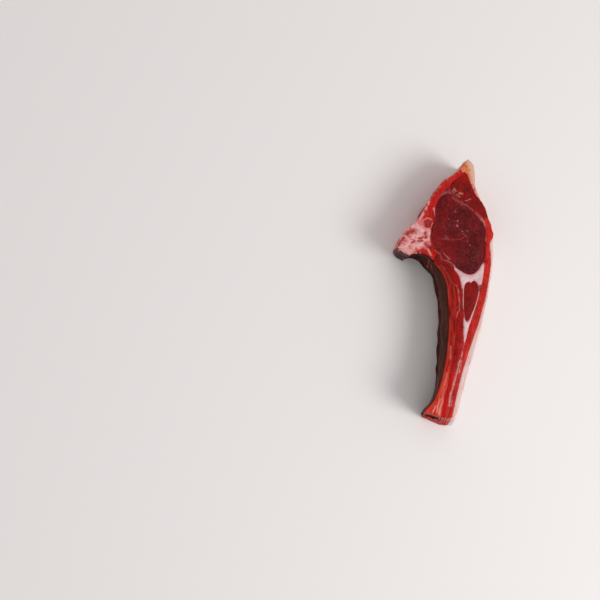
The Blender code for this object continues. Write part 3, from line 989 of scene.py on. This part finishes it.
# %% Cells with thin walls
cells, given, result = new_group(
    "cells", [("Where", VECTOR, (0, 0, 0)), ("Size", FLOAT, 1.1), ("Wall", FLOAT, 0.14)],
    [("Wall", FLOAT), ("Tone", FLOAT), ("Height", FLOAT)])
bent = vectors("SCALE", sized_noise(given["Where"], given["Size"], 1.0)[1], given["Size"])
spots = {"Vector": vectors("ADD", given["Where"], bent), "Scale": maths("DIVIDE", 1.0, given["Size"])}
gaps = add(cells, "ShaderNodeTexVoronoi", spots, feature="DISTANCE_TO_EDGE").outputs["Distance"]
each = add(cells, "ShaderNodeTexVoronoi", spots).outputs["Color"]
feed(result, {"Wall": step(gaps, given["Wall"], 0.01), "Height": step(gaps, 0.0, 0.30),
              "Tone": add(cells, "ShaderNodeSeparateColor", {0: each}).outputs[0]})

# %% Wet membrane
membrane, given, result = new_group("wet membrane", [("Run", VECTOR, (0, 0, 0))], [("Color", COLOUR)])
run = given["Run"]
_, down_rib, level = add(membrane, "ShaderNodeSeparateXYZ", {0: run}).outputs
level = maths("ADD", level, times(clouds(stretched(run, (1, 0.5, 0)), 8.0), 5.0))
on_rib = times(step(level, 11.0, 16.0), maths("ADD", 0.15, step(down_rib, 22.0, 10.0)))
veins = placed(threads, {"Where": stretched(run, (1.0, 0.35, 1.0)), "Size": 5.0, "Width": 0.016,
                         "Patches": 9.0})["Mask"]
streaks = patches(stretched(run, (1.0, 0.10, 0.55)), 1.5, 0.36, 0.66, seed=7.0)
# The membrane's two base reds are darker than its own colour: they are painted shade for the deep shadow on
# the inner wall.
film = layered(blend(streaks, (0.026, 0.002, 0.001), (0.130, 0.012, 0.007)), [
    (on_rib, 0.52, (0.100, 0.037, 0.022)),
    # Pale greyish patches: thicker film, and partly painted sheen of the wet membrane.
    (patches(stretched(run, (1, 0.4, 1)), 7.0, 0.50, 0.68, 2.0), 0.22, (0.15, 0.055, 0.040)),
    # Painted shade: below the rib the membrane is darkened, as in the shadow under the rib's ridge.
    (step(level, 14.5, 9.5), 0.6, (0.35, 0.22, 0.22), "MULTIPLY"),
    (veins, 0.5, (0.22, 0.012, 0.009))])
feed(result, {"Color": film})

# %% Moist surface
moist, given, result = new_group(
    "moist surface",
    [("Where", VECTOR, (0, 0, 0)), ("Ripple Size", FLOAT, 1.0), ("Ripple Depth", FLOAT, 0.05),
     ("Grain", FLOAT, 0.0), ("Grain Depth", FLOAT, 0.0), ("Dry", FLOAT, 0.5), ("Wet", FLOAT, 0.25)],
    [("Roughness", FLOAT), ("Normal", VECTOR)])
ripple = sized_noise(given["Where"], given["Ripple Size"], 3.0)[0]
height = maths("ADD", times(ripple, given["Ripple Depth"]), times(given["Grain"], given["Grain Depth"]))
bump = add(moist, "ShaderNodeBump", {"Height": times(height, MM), "Distance": 1.0, "Strength": 1.0})
damp = patches(given["Where"], 5.0, 0.4, 0.65, 2.0, seed=2.0)
gloss = add(moist, "ShaderNodeMix", {0: damp, 2: given["Dry"], 3: given["Wet"]}).outputs[0]
feed(result, {"Roughness": gloss, "Normal": bump.outputs["Normal"]})
print("shared effects:", [g.name for g in bpy.data.node_groups])


# %% A new finish and its moist surface
def finish(name):
    """A new material with its network, its surface, and each point's place in millimetres."""
    material = bpy.data.materials.new(name)
    material.use_nodes = True
    tree = material.node_tree
    place = add(tree, "ShaderNodeTexCoord").outputs["Object"]
    return material, tree, tree.nodes["Principled BSDF"], vectors("SCALE", place, 1 / MM)


def surfaced(surface, base, moisture, specular, depth, radius, coat, coat_roughness):
    """Links a finish's colour and moist surface, and sets its constants."""
    skin = placed(moist, moisture)
    feed(surface.inputs, {
        "Base Color": base, "Roughness": skin["Roughness"], "Normal": skin["Normal"],
        "Specular IOR Level": specular, "Subsurface Weight": 0.15, "Subsurface Radius": radius,
        "Subsurface Scale": depth * MM, "Coat Weight": coat, "Coat Roughness": coat_roughness})


# %% [markdown]
# ## Lean
#
# Raw lamb is deep maroon where it is cut across the grain and a brighter red where air has
# reached it or where the strip is thin. The finish mixes two reds in soft clouds, gives each
# fibre bundle its own tone, adds pale marbling, and pales on the drawn threads. On the inner
# wall the membrane lies over the lean. The other walls are open and streaky, under thin patches
# of pale sheath. The silverskin is the thin grey-pink sheath between the eye and its cap.

# %% Sinew, and the walls of lean
SINEW = (0.52, 0.21, 0.18)
BARE_SINEW = (0.70, 0.37, 0.34)
SILVER = (0.34, 0.13, 0.145)
SHEATH = (0.60, 0.20, 0.17)


def wall_colour(tree, deep, fresh_wall, under_membrane):
    """The colour of lean on an outer wall: lined by the membrane, or open and streaky."""
    run = run_of(tree)
    if under_membrane:
        return placed(membrane, {"Run": run})["Color"]
    streaks = patches(stretched(run, (1.0, 0.12, 1.0)), 1.4, 0.35, 0.70, seed=7.0)
    sheath = patches(stretched(run, (1.0, 0.5, 0.8)), 4.5, 0.46, 0.62, 4.0, seed=25.0, warp=0.8)
    return layered(blend(streaks, deep, fresh_wall), [(sheath, 0.45, SHEATH)])


# %% Lean finish
def lean_finish(name, deep, bright, marbling, streaky=0.15, under_membrane=True,
                fresh_wall=(0.42, 0.03, 0.02)):
    material, tree, surface, where = finish(name)
    bundle = placed(cells, {"Where": stretched(where, (1.0, 1.0, 0.2)), "Size": 1.0, "Wall": 0.16})
    fat = placed(threads, {"Where": where, "Size": 3.6, "Width": 0.018, "Patches": 8.0})["Mask"]
    along = patches(stretched(run_of(tree), (1.0, 0.13, 0.6)), 1.1, 0.62, 0.36, seed=5.0)
    silver = times(number(tree, "silver"), patches(where, 3.2, 0.44, 0.64, seed=21.0))
    broken = maths("ADD", times(patches(where, 1.6, 0.30, 0.58, 2.0, seed=8.0), 0.7), 0.3)
    on_wall = maths("SUBTRACT", step(number(tree, "cut"), 0.65, 0.25), number(tree, "end"))
    share = maths("ADD", times(patches(where, 6.0, 0.34, 0.68), 0.6), number(tree, "fresh"))
    red = layered(blend(maths("MINIMUM", share, 1.0), deep, bright), [
        (along, streaky, (0.45, 0.25, 0.30), "MULTIPLY"),
        (patches(where, 0.5, 0.30, 0.75, seed=4.0), 0.50, (0.42, 0.30, 0.36), "MULTIPLY"),
        (patches(where, 2.4, 0.50, 0.70, seed=14.0, warp=0.5), 0.45, (0.50, 0.42, 0.62), "MULTIPLY"),
        (patches(where, 1.3, 0.56, 0.74, seed=16.0), marbling, (0.50, 0.09, 0.08)),
        (bundle["Tone"], 0.28, bright), (bundle["Wall"], 0.05, SINEW), (fat, marbling, SINEW),
        (silver, 0.75, SILVER), (times(number(tree, "pale"), broken), 0.75, BARE_SINEW),
        (on_wall, 1.0, wall_colour(tree, deep, fresh_wall, under_membrane))])
    surfaced(surface, red, {"Where": where, "Ripple Size": 0.9, "Ripple Depth": 0.20,
                            "Grain": bundle["Height"], "Grain Depth": 0.05, "Dry": 0.44, "Wet": 0.24},
             0.12, 1.2, (1.0, 0.25, 0.15), 0.07, 0.13)
    return material


# %% The five kinds of lean
eye_lean = lean_finish("eye_lean", (0.092, 0.005, 0.009), (0.300, 0.009, 0.012), 0.24)
island_lean = lean_finish("island_lean", (0.15, 0.003, 0.004), (0.35, 0.006, 0.006), 0.10)
cap_lean = lean_finish("cap_lean", (0.115, 0.004, 0.004), (0.45, 0.009, 0.007), 0.16, 0.25, False)
side_lean = lean_finish("side_lean", (0.42, 0.015, 0.010), (0.76, 0.042, 0.027), 0.04, 0.5, False,
                        (0.58, 0.04, 0.025))
rib_lean = lean_finish("rib_lean", (0.19, 0.002, 0.002), (0.60, 0.008, 0.005), 0.08, 0.45)
print("lean finishes:", [m.name for m in (eye_lean, island_lean, cap_lean, side_lean, rib_lean)])

# %% [markdown]
# ## Fat
#
# Lamb fat is firm and waxy, white to cream, made of small lobules, and lets a little light
# through. Blood tints it pink close to the lean, and the outer fat carries a thin skin with faint
# veins. The seam between the muscles is white only in the valley below the eye. Elsewhere it is
# so thin that the red around it takes over.


# %% Fat finish
def stain_for(tree, where, reach):
    """How much blood has soaked into fat: most where it touches lean, in uneven patches."""
    uneven = times(clouds(where, 1.6, 3.0, seed=3.0), 1.6)
    return times(step(number(tree, "to_lean"), reach, 0.1), uneven)


def fat_finish(name, pale, cream, stain, reach, most, over=()):
    """Fat of two tones, stained near lean, with more layers on top."""
    material, tree, surface, where = finish(name)
    lobule = placed(cells, {"Where": where, "Size": 1.9, "Wall": 0.12})
    veins = placed(threads, {"Where": where, "Size": 6.0, "Width": 0.010, "Patches": 10.0})["Mask"]
    fat = layered(blend(patches(where, 8.0, 0.35, 0.65), pale, cream), [
        (lobule["Wall"], 0.22, stain), (lobule["Tone"], 0.16, cream),
        (stain_for(tree, where, reach), most, stain),
        (patches(where, 11.0, 0.50, 0.72, seed=17.0, warp=0.6), 0.40, stain),
        (veins, 0.35, (0.55, 0.10, 0.09)), *over])
    surfaced(surface, fat, {"Where": where, "Ripple Size": 1.6, "Ripple Depth": 0.22,
                            "Grain": lobule["Height"], "Grain Depth": 0.07, "Dry": 0.55, "Wet": 0.36},
             0.35, 2.0, (1.0, 0.55, 0.40), 0.15, 0.25)
    return material


cover_fat = fat_finish("cover_fat", (0.78, 0.65, 0.64), (0.78, 0.61, 0.58), (0.76, 0.40, 0.38), 1.2, 0.35,
                       over=[("blood", 0.7, (0.66, 0.19, 0.17))])
tip_fat = fat_finish("tip_fat", (0.71, 0.51, 0.44), (0.69, 0.43, 0.32), (0.68, 0.20, 0.10), 2.4, 0.8,
                     over=[("rosy", 0.6, (0.66, 0.30, 0.27)), ("orange", 0.85, (0.74, 0.21, 0.09)),
                           ("amber", 1.0, (0.64, 0.22, 0.045)), ("blood", 0.9, (0.52, 0.035, 0.02))])

# %% Seam finish: white in the valley, peach or silver on drawn lines, red where it is thin
seam_white, tree, surface, where = finish("seam_white")
fat = layered(blend(patches(where, 5.0, 0.35, 0.65), (0.75, 0.58, 0.60), (0.63, 0.42, 0.45)), [
    (stain_for(tree, where, 1.5), 0.95, (0.60, 0.17, 0.17)),
    (step(number(tree, "peach"), 0.05, 0.35), 1.0, (0.66, 0.28, 0.22))])
thickness = maths("ADD", number(tree, "white"), times(clouds(where, 1.8, 3.0, seed=12.0), 0.5))
streaks = patches(stretched(run_of(tree), (1.0, 0.12, 1.0)), 1.2, 0.35, 0.70, seed=13.0)
under = blend(streaks, (0.20, 0.008, 0.007), (0.40, 0.016, 0.014))
under = layered(under, [("fresh", 1.0, (0.52, 0.016, 0.012))])
silver = times(number(tree, "silver"), patches(where, 3.2, 0.40, 0.62, seed=21.0))
fat = layered(blend(step(thickness, 0.42, 0.95), under, fat), [(silver, 0.8, SILVER)])
surfaced(surface, fat, {"Where": where, "Ripple Size": 1.4, "Ripple Depth": 0.20, "Dry": 0.52, "Wet": 0.34},
         0.30, 1.5, (1.0, 0.5, 0.4), 0.14, 0.22)

# %% [markdown]
# ## Bone
#
# A sawn vertebra is a thin shell of compact bone around red marrow sponge, with white gristle at
# its ends, a smooth channel for the spinal cord, and torn flesh around it. The rib is seen from
# its side at the cut face, streaked along its length, and its sawn end shows a thin blood-stained
# ring of hard bone around the marrow. The masks say which is where, and this one finish holds
# them all.


# %% Bone finish
def bone_finish(name, flesh, flesh_bright, gristle, gristle_pink, compact, marrow, specular, coat):
    material, tree, surface, where = finish(name)
    run = run_of(tree)
    streaks = patches(stretched(run, (1.0, 0.18, 1.0)), 1.1, 0.30, 0.72, 4.0, seed=13.0)
    lines = patches(stretched(run, (1.0, 0.05, 1.0)), 0.65, 0.50, 0.62, 2.0, seed=15.0)
    sponge = placed(cells, {"Where": where, "Size": 0.55, "Wall": 0.22})
    spongy = blend(times(sponge["Wall"], 0.42), marrow, compact)
    spongy = blend(patches(where, 3.5, 0.42, 0.66, seed=19.0), spongy, marrow)
    fibrous = patches(stretched(where, (0.5, 1.3, 1.0)), 1.3, 0.36, 0.62, seed=9.0, warp=0.9)
    bloody = patches(where, 2.6, 0.56, 0.66, seed=23.0, warp=1.2)
    tough = layered(blend(fibrous, gristle_pink, gristle), [(bloody, 0.65, flesh_bright)])
    share = maths("ADD", times(streaks, 0.6), times(number(tree, "fresh"), 0.5))
    bone = layered(blend(maths("MINIMUM", share, 1.0), flesh, flesh_bright), [
        (times(lines, number(tree, "streaky")), 0.80, compact), ("marrow", 1.0, spongy),
        ("gristle", 1.0, tough), ("compact", 1.0, compact), ("blood", 0.9, marrow), ("pale", 0.8, gristle),
        (clouds(where, 0.5, 3.0, seed=6.0), 0.36, (0.66, 0.42, 0.42), "MULTIPLY"),
        ("membrane", 1.0, placed(membrane, {"Run": run})["Color"])])
    pitted = times(sponge["Height"], number(tree, "marrow"))
    surfaced(surface, bone, {"Where": where, "Ripple Size": 0.8, "Ripple Depth": 0.28,
                             "Grain": pitted, "Grain Depth": -0.12, "Dry": 0.52, "Wet": 0.28},
             specular, 1.0, (1.0, 0.4, 0.3), coat, 0.16)
    return material


backbone_bone = bone_finish("backbone_bone", (0.34, 0.008, 0.007), (0.68, 0.018, 0.012), (0.82, 0.50, 0.49),
                            (0.68, 0.17, 0.18), (0.72, 0.42, 0.34), (0.36, 0.009, 0.008), 0.16, 0.09)
rib_sawn = bone_finish("rib_sawn", (0.20, 0.006, 0.005), (0.66, 0.034, 0.021), (0.84, 0.40, 0.33),
                       (0.55, 0.13, 0.10), (0.70, 0.115, 0.070), (0.10, 0.004, 0.005), 0.12, 0.05)

# %% Lining finish
lining_film, tree, surface, where = finish("lining_film")
surfaced(surface, placed(membrane, {"Run": run_of(tree)})["Color"],
         {"Where": where, "Ripple Size": 1.2, "Ripple Depth": 0.16, "Dry": 0.42, "Wet": 0.26},
         0.06, 0.8, (1.0, 0.3, 0.25), 0.02, 0.15)
rib_lining.data.materials.append(lining_film)

# %% Finishes for the skins
FINISHES = {
    "eye_muscle": (eye_lean, "dark_lean"), "island_muscle": (island_lean, "dark_lean"),
    "cap_muscle": (cap_lean, "lean"), "side_muscle": (side_lean, "lean"),
    "rib_meat": (rib_lean, "lean"), "backbone": (backbone_bone, "bone"),
    "rib_bone": (rib_sawn, "bone"), "fat_tip": (tip_fat, "outer_fat"),
    "fat_cover": (cover_fat, "outer_fat"), "seam_fat": (seam_white, "seam_fat"),
}
for node, (material, slot_name) in FINISHES.items():
    skins[node].data.materials.append(material)
print("finishes:", sorted({m.name for m, _ in FINISHES.values()}))

# %% [markdown]
# ## Threads laid on the cut
#
# Sinew and torn fibres stand out of the cut as fine cords, and strands and small vessels lie on
# the inner wall. Geometry Nodes lay them: a mesh of edges holds the drawn lines, the tree smooths
# them into curves, wiggles them, drops them onto the finished skins with a ray cast, and sweeps a
# small round profile along each one. Lines drawn for the skins are reused, so that the cords lie
# exactly where the skins are pale.

# %% Helpers for geometry trees
GEOMETRY, OBJECT, MATERIAL, INTEGER = ("NodeSocketGeometry", "NodeSocketObject", "NodeSocketMaterial",
                                       "NodeSocketInt")
THINNEST = 0.02 * MM


def geo(tree, kind, feeds=None, **settings):
    """The first output of a new geometry node."""
    return add(tree, "GeometryNode" + kind, feeds, **settings).outputs[0]


def jolts(tree, feeds, amount, **settings):
    """Small random shifts from a noise node, in all directions."""
    shifts = add(tree, "ShaderNodeTexNoise", feeds, **settings).outputs[1]
    return vectors("SCALE", vectors("SUBTRACT", shifts, (0.5, 0.5, 0.5)), amount)


# %% A node tree that lays threads on a surface
laid, given, result = new_group(
    "laid threads",
    [("Lines", GEOMETRY), ("Surface", OBJECT), ("Finish", MATERIAL), ("Ray", VECTOR, (0, 0, -1)),
     ("Spacing", FLOAT, 0.35 * MM), ("Wiggle", FLOAT, 0.5 * MM), ("Sunk", FLOAT, 0.35), ("Seed", FLOAT, 3.0)],
    [("Threads", GEOMETRY)], "GeometryNodeTree")
curve = geo(laid, "MeshToCurve", {"Mesh": given["Lines"]})
curve = geo(laid, "CurveSplineType", {"Curve": curve}, spline_type="CATMULL_ROM")
curve = geo(laid, "ResampleCurve", {"Curve": curve, "Length": given["Spacing"]}, mode="LENGTH")
wiggle = jolts(laid, {"W": given["Seed"], "Scale": 420.0, "Detail": 2.0}, given["Wiggle"],
               noise_dimensions="4D")
curve = geo(laid, "SetPosition", {"Geometry": curve, "Offset": wiggle})
target = add(laid, "GeometryNodeObjectInfo", {"Object": given["Surface"]}).outputs["Geometry"]
ray = add(laid, "GeometryNodeRaycast", {"Target Geometry": target, "Ray Direction": given["Ray"],
                                        "Ray Length": 0.1}).outputs
thick = geo(laid, "InputNamedAttribute", {"Name": "thickness"}, data_type="FLOAT")
lift = vectors("SCALE", given["Ray"], times(thick, given["Sunk"]))
curve = geo(laid, "SetPosition", {"Geometry": curve, "Selection": ray["Is Hit"],
                                  "Position": ray["Hit Position"], "Offset": lift})
share = geo(laid, "SplineParameter")
taper = maths("POWER", times(times(share, maths("SUBTRACT", 1.0, share)), 4.0), 0.5)
uneven = add(laid, "ShaderNodeTexNoise", {"W": given["Seed"], "Scale": 900.0}, noise_dimensions="4D")
girth = times(times(thick, taper), maths("ADD", step(uneven.outputs[0], 0.25, 0.75), 0.4))
profile = geo(laid, "CurvePrimitiveCircle", {"Resolution": 8, "Radius": 1.0})
tube = geo(laid, "CurveToMesh", {"Curve": curve, "Profile Curve": profile,
                                 "Scale": maths("ADD", girth, THINNEST), "Fill Caps": True})
tube = geo(laid, "SetShadeSmooth", {"Geometry": tube})
tube = geo(laid, "RealizeInstances", {"Geometry": tube})
feed(result, {"Threads": geo(laid, "SetMaterial", {"Geometry": tube, "Material": given["Finish"]})})


# %% Running a node tree
def made_by(tree, name, base, values):
    """Runs a Geometry Nodes tree on a mesh and keeps the result as a plain mesh piece."""
    thing = new_object(name + "_base", base)
    modifier = thing.modifiers.new(tree.name, "NODES")
    modifier.node_group = tree
    for label, value in values.items():
        modifier[tree.interface.items_tree[label].identifier] = value
    mesh = modified_mesh(thing)
    thing.modifiers.remove(modifier)
    bpy.data.objects.remove(thing)
    piece = new_object(name, mesh)
    print(name, "faces:", len(mesh.polygons))
    return piece


# %% Drawn lines as a mesh
def edge_mesh(name, lines):
    """A mesh of edges from (thickness, points) lines, each point carrying its thickness."""
    mesh = bpy.data.meshes.new(name)
    points, edges, thickness = [], [], []
    for width, line in lines:
        edges += [(len(points) + i, len(points) + i + 1) for i in range(len(line) - 1)]
        points += [tuple(v * MM for v in p) for p in line]
        thickness += [width * MM] * len(line)
    mesh.from_pydata(points, edges, [])
    keep(mesh, "thickness", np.array(thickness))
    return mesh


# %% A finish for threads, shreds and crumbs
def plain_tissue(name, pale, pink, low, high):
    """Small loose tissue: pale, tinted in soft patches."""
    material, _, surface, where = finish(name)
    surfaced(surface, blend(patches(where, 2.2, low, high, 2.0, seed=31.0), pale, pink),
             {"Where": where, "Ripple Size": 0.4, "Ripple Depth": 0.05, "Dry": 0.45, "Wet": 0.28},
             0.35, 0.6, (1.0, 0.5, 0.4), 0.2, 0.15)
    return material


thread_tissue = plain_tissue("thread_tissue", (0.50, 0.18, 0.16), (0.34, 0.045, 0.04), 0.38, 0.62)
shred_tissue = plain_tissue("shred_tissue", (0.72, 0.36, 0.34), (0.60, 0.11, 0.10), 0.38, 0.62)
crumb_tissue = plain_tissue("crumb_tissue", (0.78, 0.52, 0.38), (0.62, 0.16, 0.12), 0.42, 0.66)
vessel_tissue = plain_tissue("vessel_tissue", (0.20, 0.016, 0.012), (0.10, 0.007, 0.006), 0.40, 0.62)

# %% Threads on the cut face and on the inner wall
surface_mesh = merged("finished_surface", [piece.data for piece in [*skins.values(), rib_lining]])
surface_guide = new_object("finished_surface", surface_mesh)

ABOVE, OUTSIDE = THICK + 5, -40.0
CORD_SHARE = 0.32
DOWN, INWARD = (0.0, 0.0, -1.0), (1.0, 0.0, 0.0)
CORDS = EYE_EDGE + MEAT_THREADS + VESSEL_ARC + EYE_FLECKS + CAP_THREADS
RAISED = [(CORD_SHARE * width, [(x + DRAWN_AT[0], y + DRAWN_AT[1], ABOVE) for x, y in line])
          for width, line in CORDS]
STRANDS = [(0.36, [(20.0, 23.2), (18.6, 18.5), (16.6, 13.0), (15.8, 9.0)]),
           (0.26, [(17.6, 23.0), (15.6, 19.0), (13.6, 15.5)])]
VESSELS = [(0.34, [(11.0, 7.4), (-12.0, 8.0), (-34.0, 7.4), (-54.0, 7.8)]),
           (0.20, [(2.0, 7.8), (-6.0, 5.2), (-16.0, 3.4)]),
           (0.20, [(-24.0, 7.6), (-31.0, 5.4), (-40.0, 4.2)])]


def lay(name, lines, tissue, ray, wiggle, sunk, seed):
    """Lays lines as threads on the finished skins, along a ray."""
    return made_by(laid, name, edge_mesh("drawn_" + name, lines), {
        "Surface": surface_guide, "Finish": tissue, "Ray": ray, "Wiggle": wiggle * MM, "Sunk": sunk,
        "Seed": seed})


def beside(lines):
    """Lines drawn on the inner wall, moved to where their rays start."""
    return [(width, [(OUTSIDE, *point) for point in line]) for width, line in lines]


sinew_threads = lay("sinew_threads", RAISED, thread_tissue, DOWN, 0.9, 0.2, 3.0)
wall_strands = lay("wall_strands", beside(STRANDS), thread_tissue, INWARD, 1.2, 0.3, 8.0)
wall_vessels = lay("wall_vessels", beside(VESSELS), vessel_tissue, INWARD, 1.0, 0.45, 12.0)
bpy.data.objects.remove(surface_guide)

# %% [markdown]
# ## Crumbs and shreds
#
# A saw leaves crumbs of bone and fat along the edges that it passed, and tears the gristle at the
# corner of the backbone into short pale shreds. Both are scattered by one node tree: points fall
# on the backbone's skin where a mask says, each point gets a small shape turned along the surface,
# and the shapes are roughened after they are made real, so that no two are alike.

# %% A node tree that scatters small shapes
scatter, given, result = new_group(
    "scattered tissue",
    [("Skin", GEOMETRY), ("Finish", MATERIAL), ("Count Per Area", FLOAT, 5e5), ("Longest", FLOAT, 0.4 * MM),
     ("Slenderness", FLOAT, 1.0), ("Lean Over", FLOAT, 0.4), ("Roughening", FLOAT, 0.15 * MM),
     ("Seed", INTEGER, 1)],
    [("Shapes", GEOMETRY)], "GeometryNodeTree")
density = geo(scatter, "InputNamedAttribute", {"Name": "density"}, data_type="FLOAT")
spread = add(scatter, "GeometryNodeDistributePointsOnFaces", {
    "Mesh": given["Skin"], "Density": times(density, given["Count Per Area"]), "Seed": given["Seed"]}).outputs
tilt = add(scatter, "FunctionNodeRandomValue", {0: (-1, -1, -1), 1: (1, 1, 1), "Seed": given["Seed"]},
           data_type="FLOAT_VECTOR").outputs[0]
up = vectors("ADD", spread["Normal"], vectors("SCALE", tilt, given["Lean Over"]))
turn = add(scatter, "FunctionNodeAlignRotationToVector", {"Vector": up}, axis="Z").outputs[0]
size = add(scatter, "FunctionNodeRandomValue", {2: 0.35, 3: 1.0, "Seed": 5}, data_type="FLOAT").outputs[1]
length = times(size, given["Longest"])
width = maths("DIVIDE", length, given["Slenderness"])
scale = add(scatter, "ShaderNodeCombineXYZ", {0: width, 1: times(width, 0.7), 2: length}).outputs[0]
shapes = geo(scatter, "InstanceOnPoints", {
    "Points": spread["Points"], "Instance": geo(scatter, "MeshIcoSphere", {"Radius": 1.0, "Subdivisions": 2}),
    "Rotation": turn, "Scale": scale})
shapes = geo(scatter, "RealizeInstances", {"Geometry": shapes})
rough = jolts(scatter, {"Scale": 1600.0, "Detail": 1.0}, given["Roughening"])
shapes = geo(scatter, "SetPosition", {"Geometry": shapes, "Offset": rough})
shapes = geo(scatter, "SetShadeSmooth", {"Geometry": shapes})
feed(result, {"Shapes": geo(scatter, "SetMaterial", {"Geometry": shapes, "Material": given["Finish"]})})


# %% Crumbs along the sawn back, shreds at its torn corner
def scattered(name, density, values):
    """Scatters shapes on the backbone's skin; density is 0 to 1 for each of its points."""
    base = skins["backbone"].data.copy()
    keep(base, "density", density)
    return made_by(scatter, name, base, values)


fact = facts["backbone"]
x, y = fact["flat"].T
crumbly = bell(fact["rim"], 0.9) * fact["top"] * rise(y, 24, 34) + 0.08 * fact["top"] * rise(x, -8, -12)
saw_crumbs = scattered("saw_crumbs", crumbly, {
    "Finish": crumb_tissue, "Count Per Area": 1.8e6, "Longest": 0.26 * MM, "Slenderness": 1.3,
    "Lean Over": 0.9, "Roughening": 0.30 * MM, "Seed": 4})
torn = bell(fact["rim"], 0.8) * rise(fact["at"][:, 2], THICK - 3.5, THICK - 0.5)
torn *= rise(y, 29, 24) * rise(x, -12, -15)
torn_shreds = scattered("torn_shreds", torn, {
    "Finish": shred_tissue, "Count Per Area": 1.0e6, "Longest": 0.75 * MM, "Slenderness": 1.9,
    "Lean Over": 1.4, "Roughening": 0.60 * MM, "Seed": 9})
LOOSE = {rib_lining: "seam_fat", sinew_threads: "seam_fat", wall_strands: "seam_fat",
         wall_vessels: "dark_lean", saw_crumbs: "bone", torn_shreds: "bone"}

# %% Attach the pieces to the root and hide the solids
for node, piece in skins.items():
    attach(piece, "root")
    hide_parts(node)
for piece, slot_name in LOOSE.items():
    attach(piece, "root")
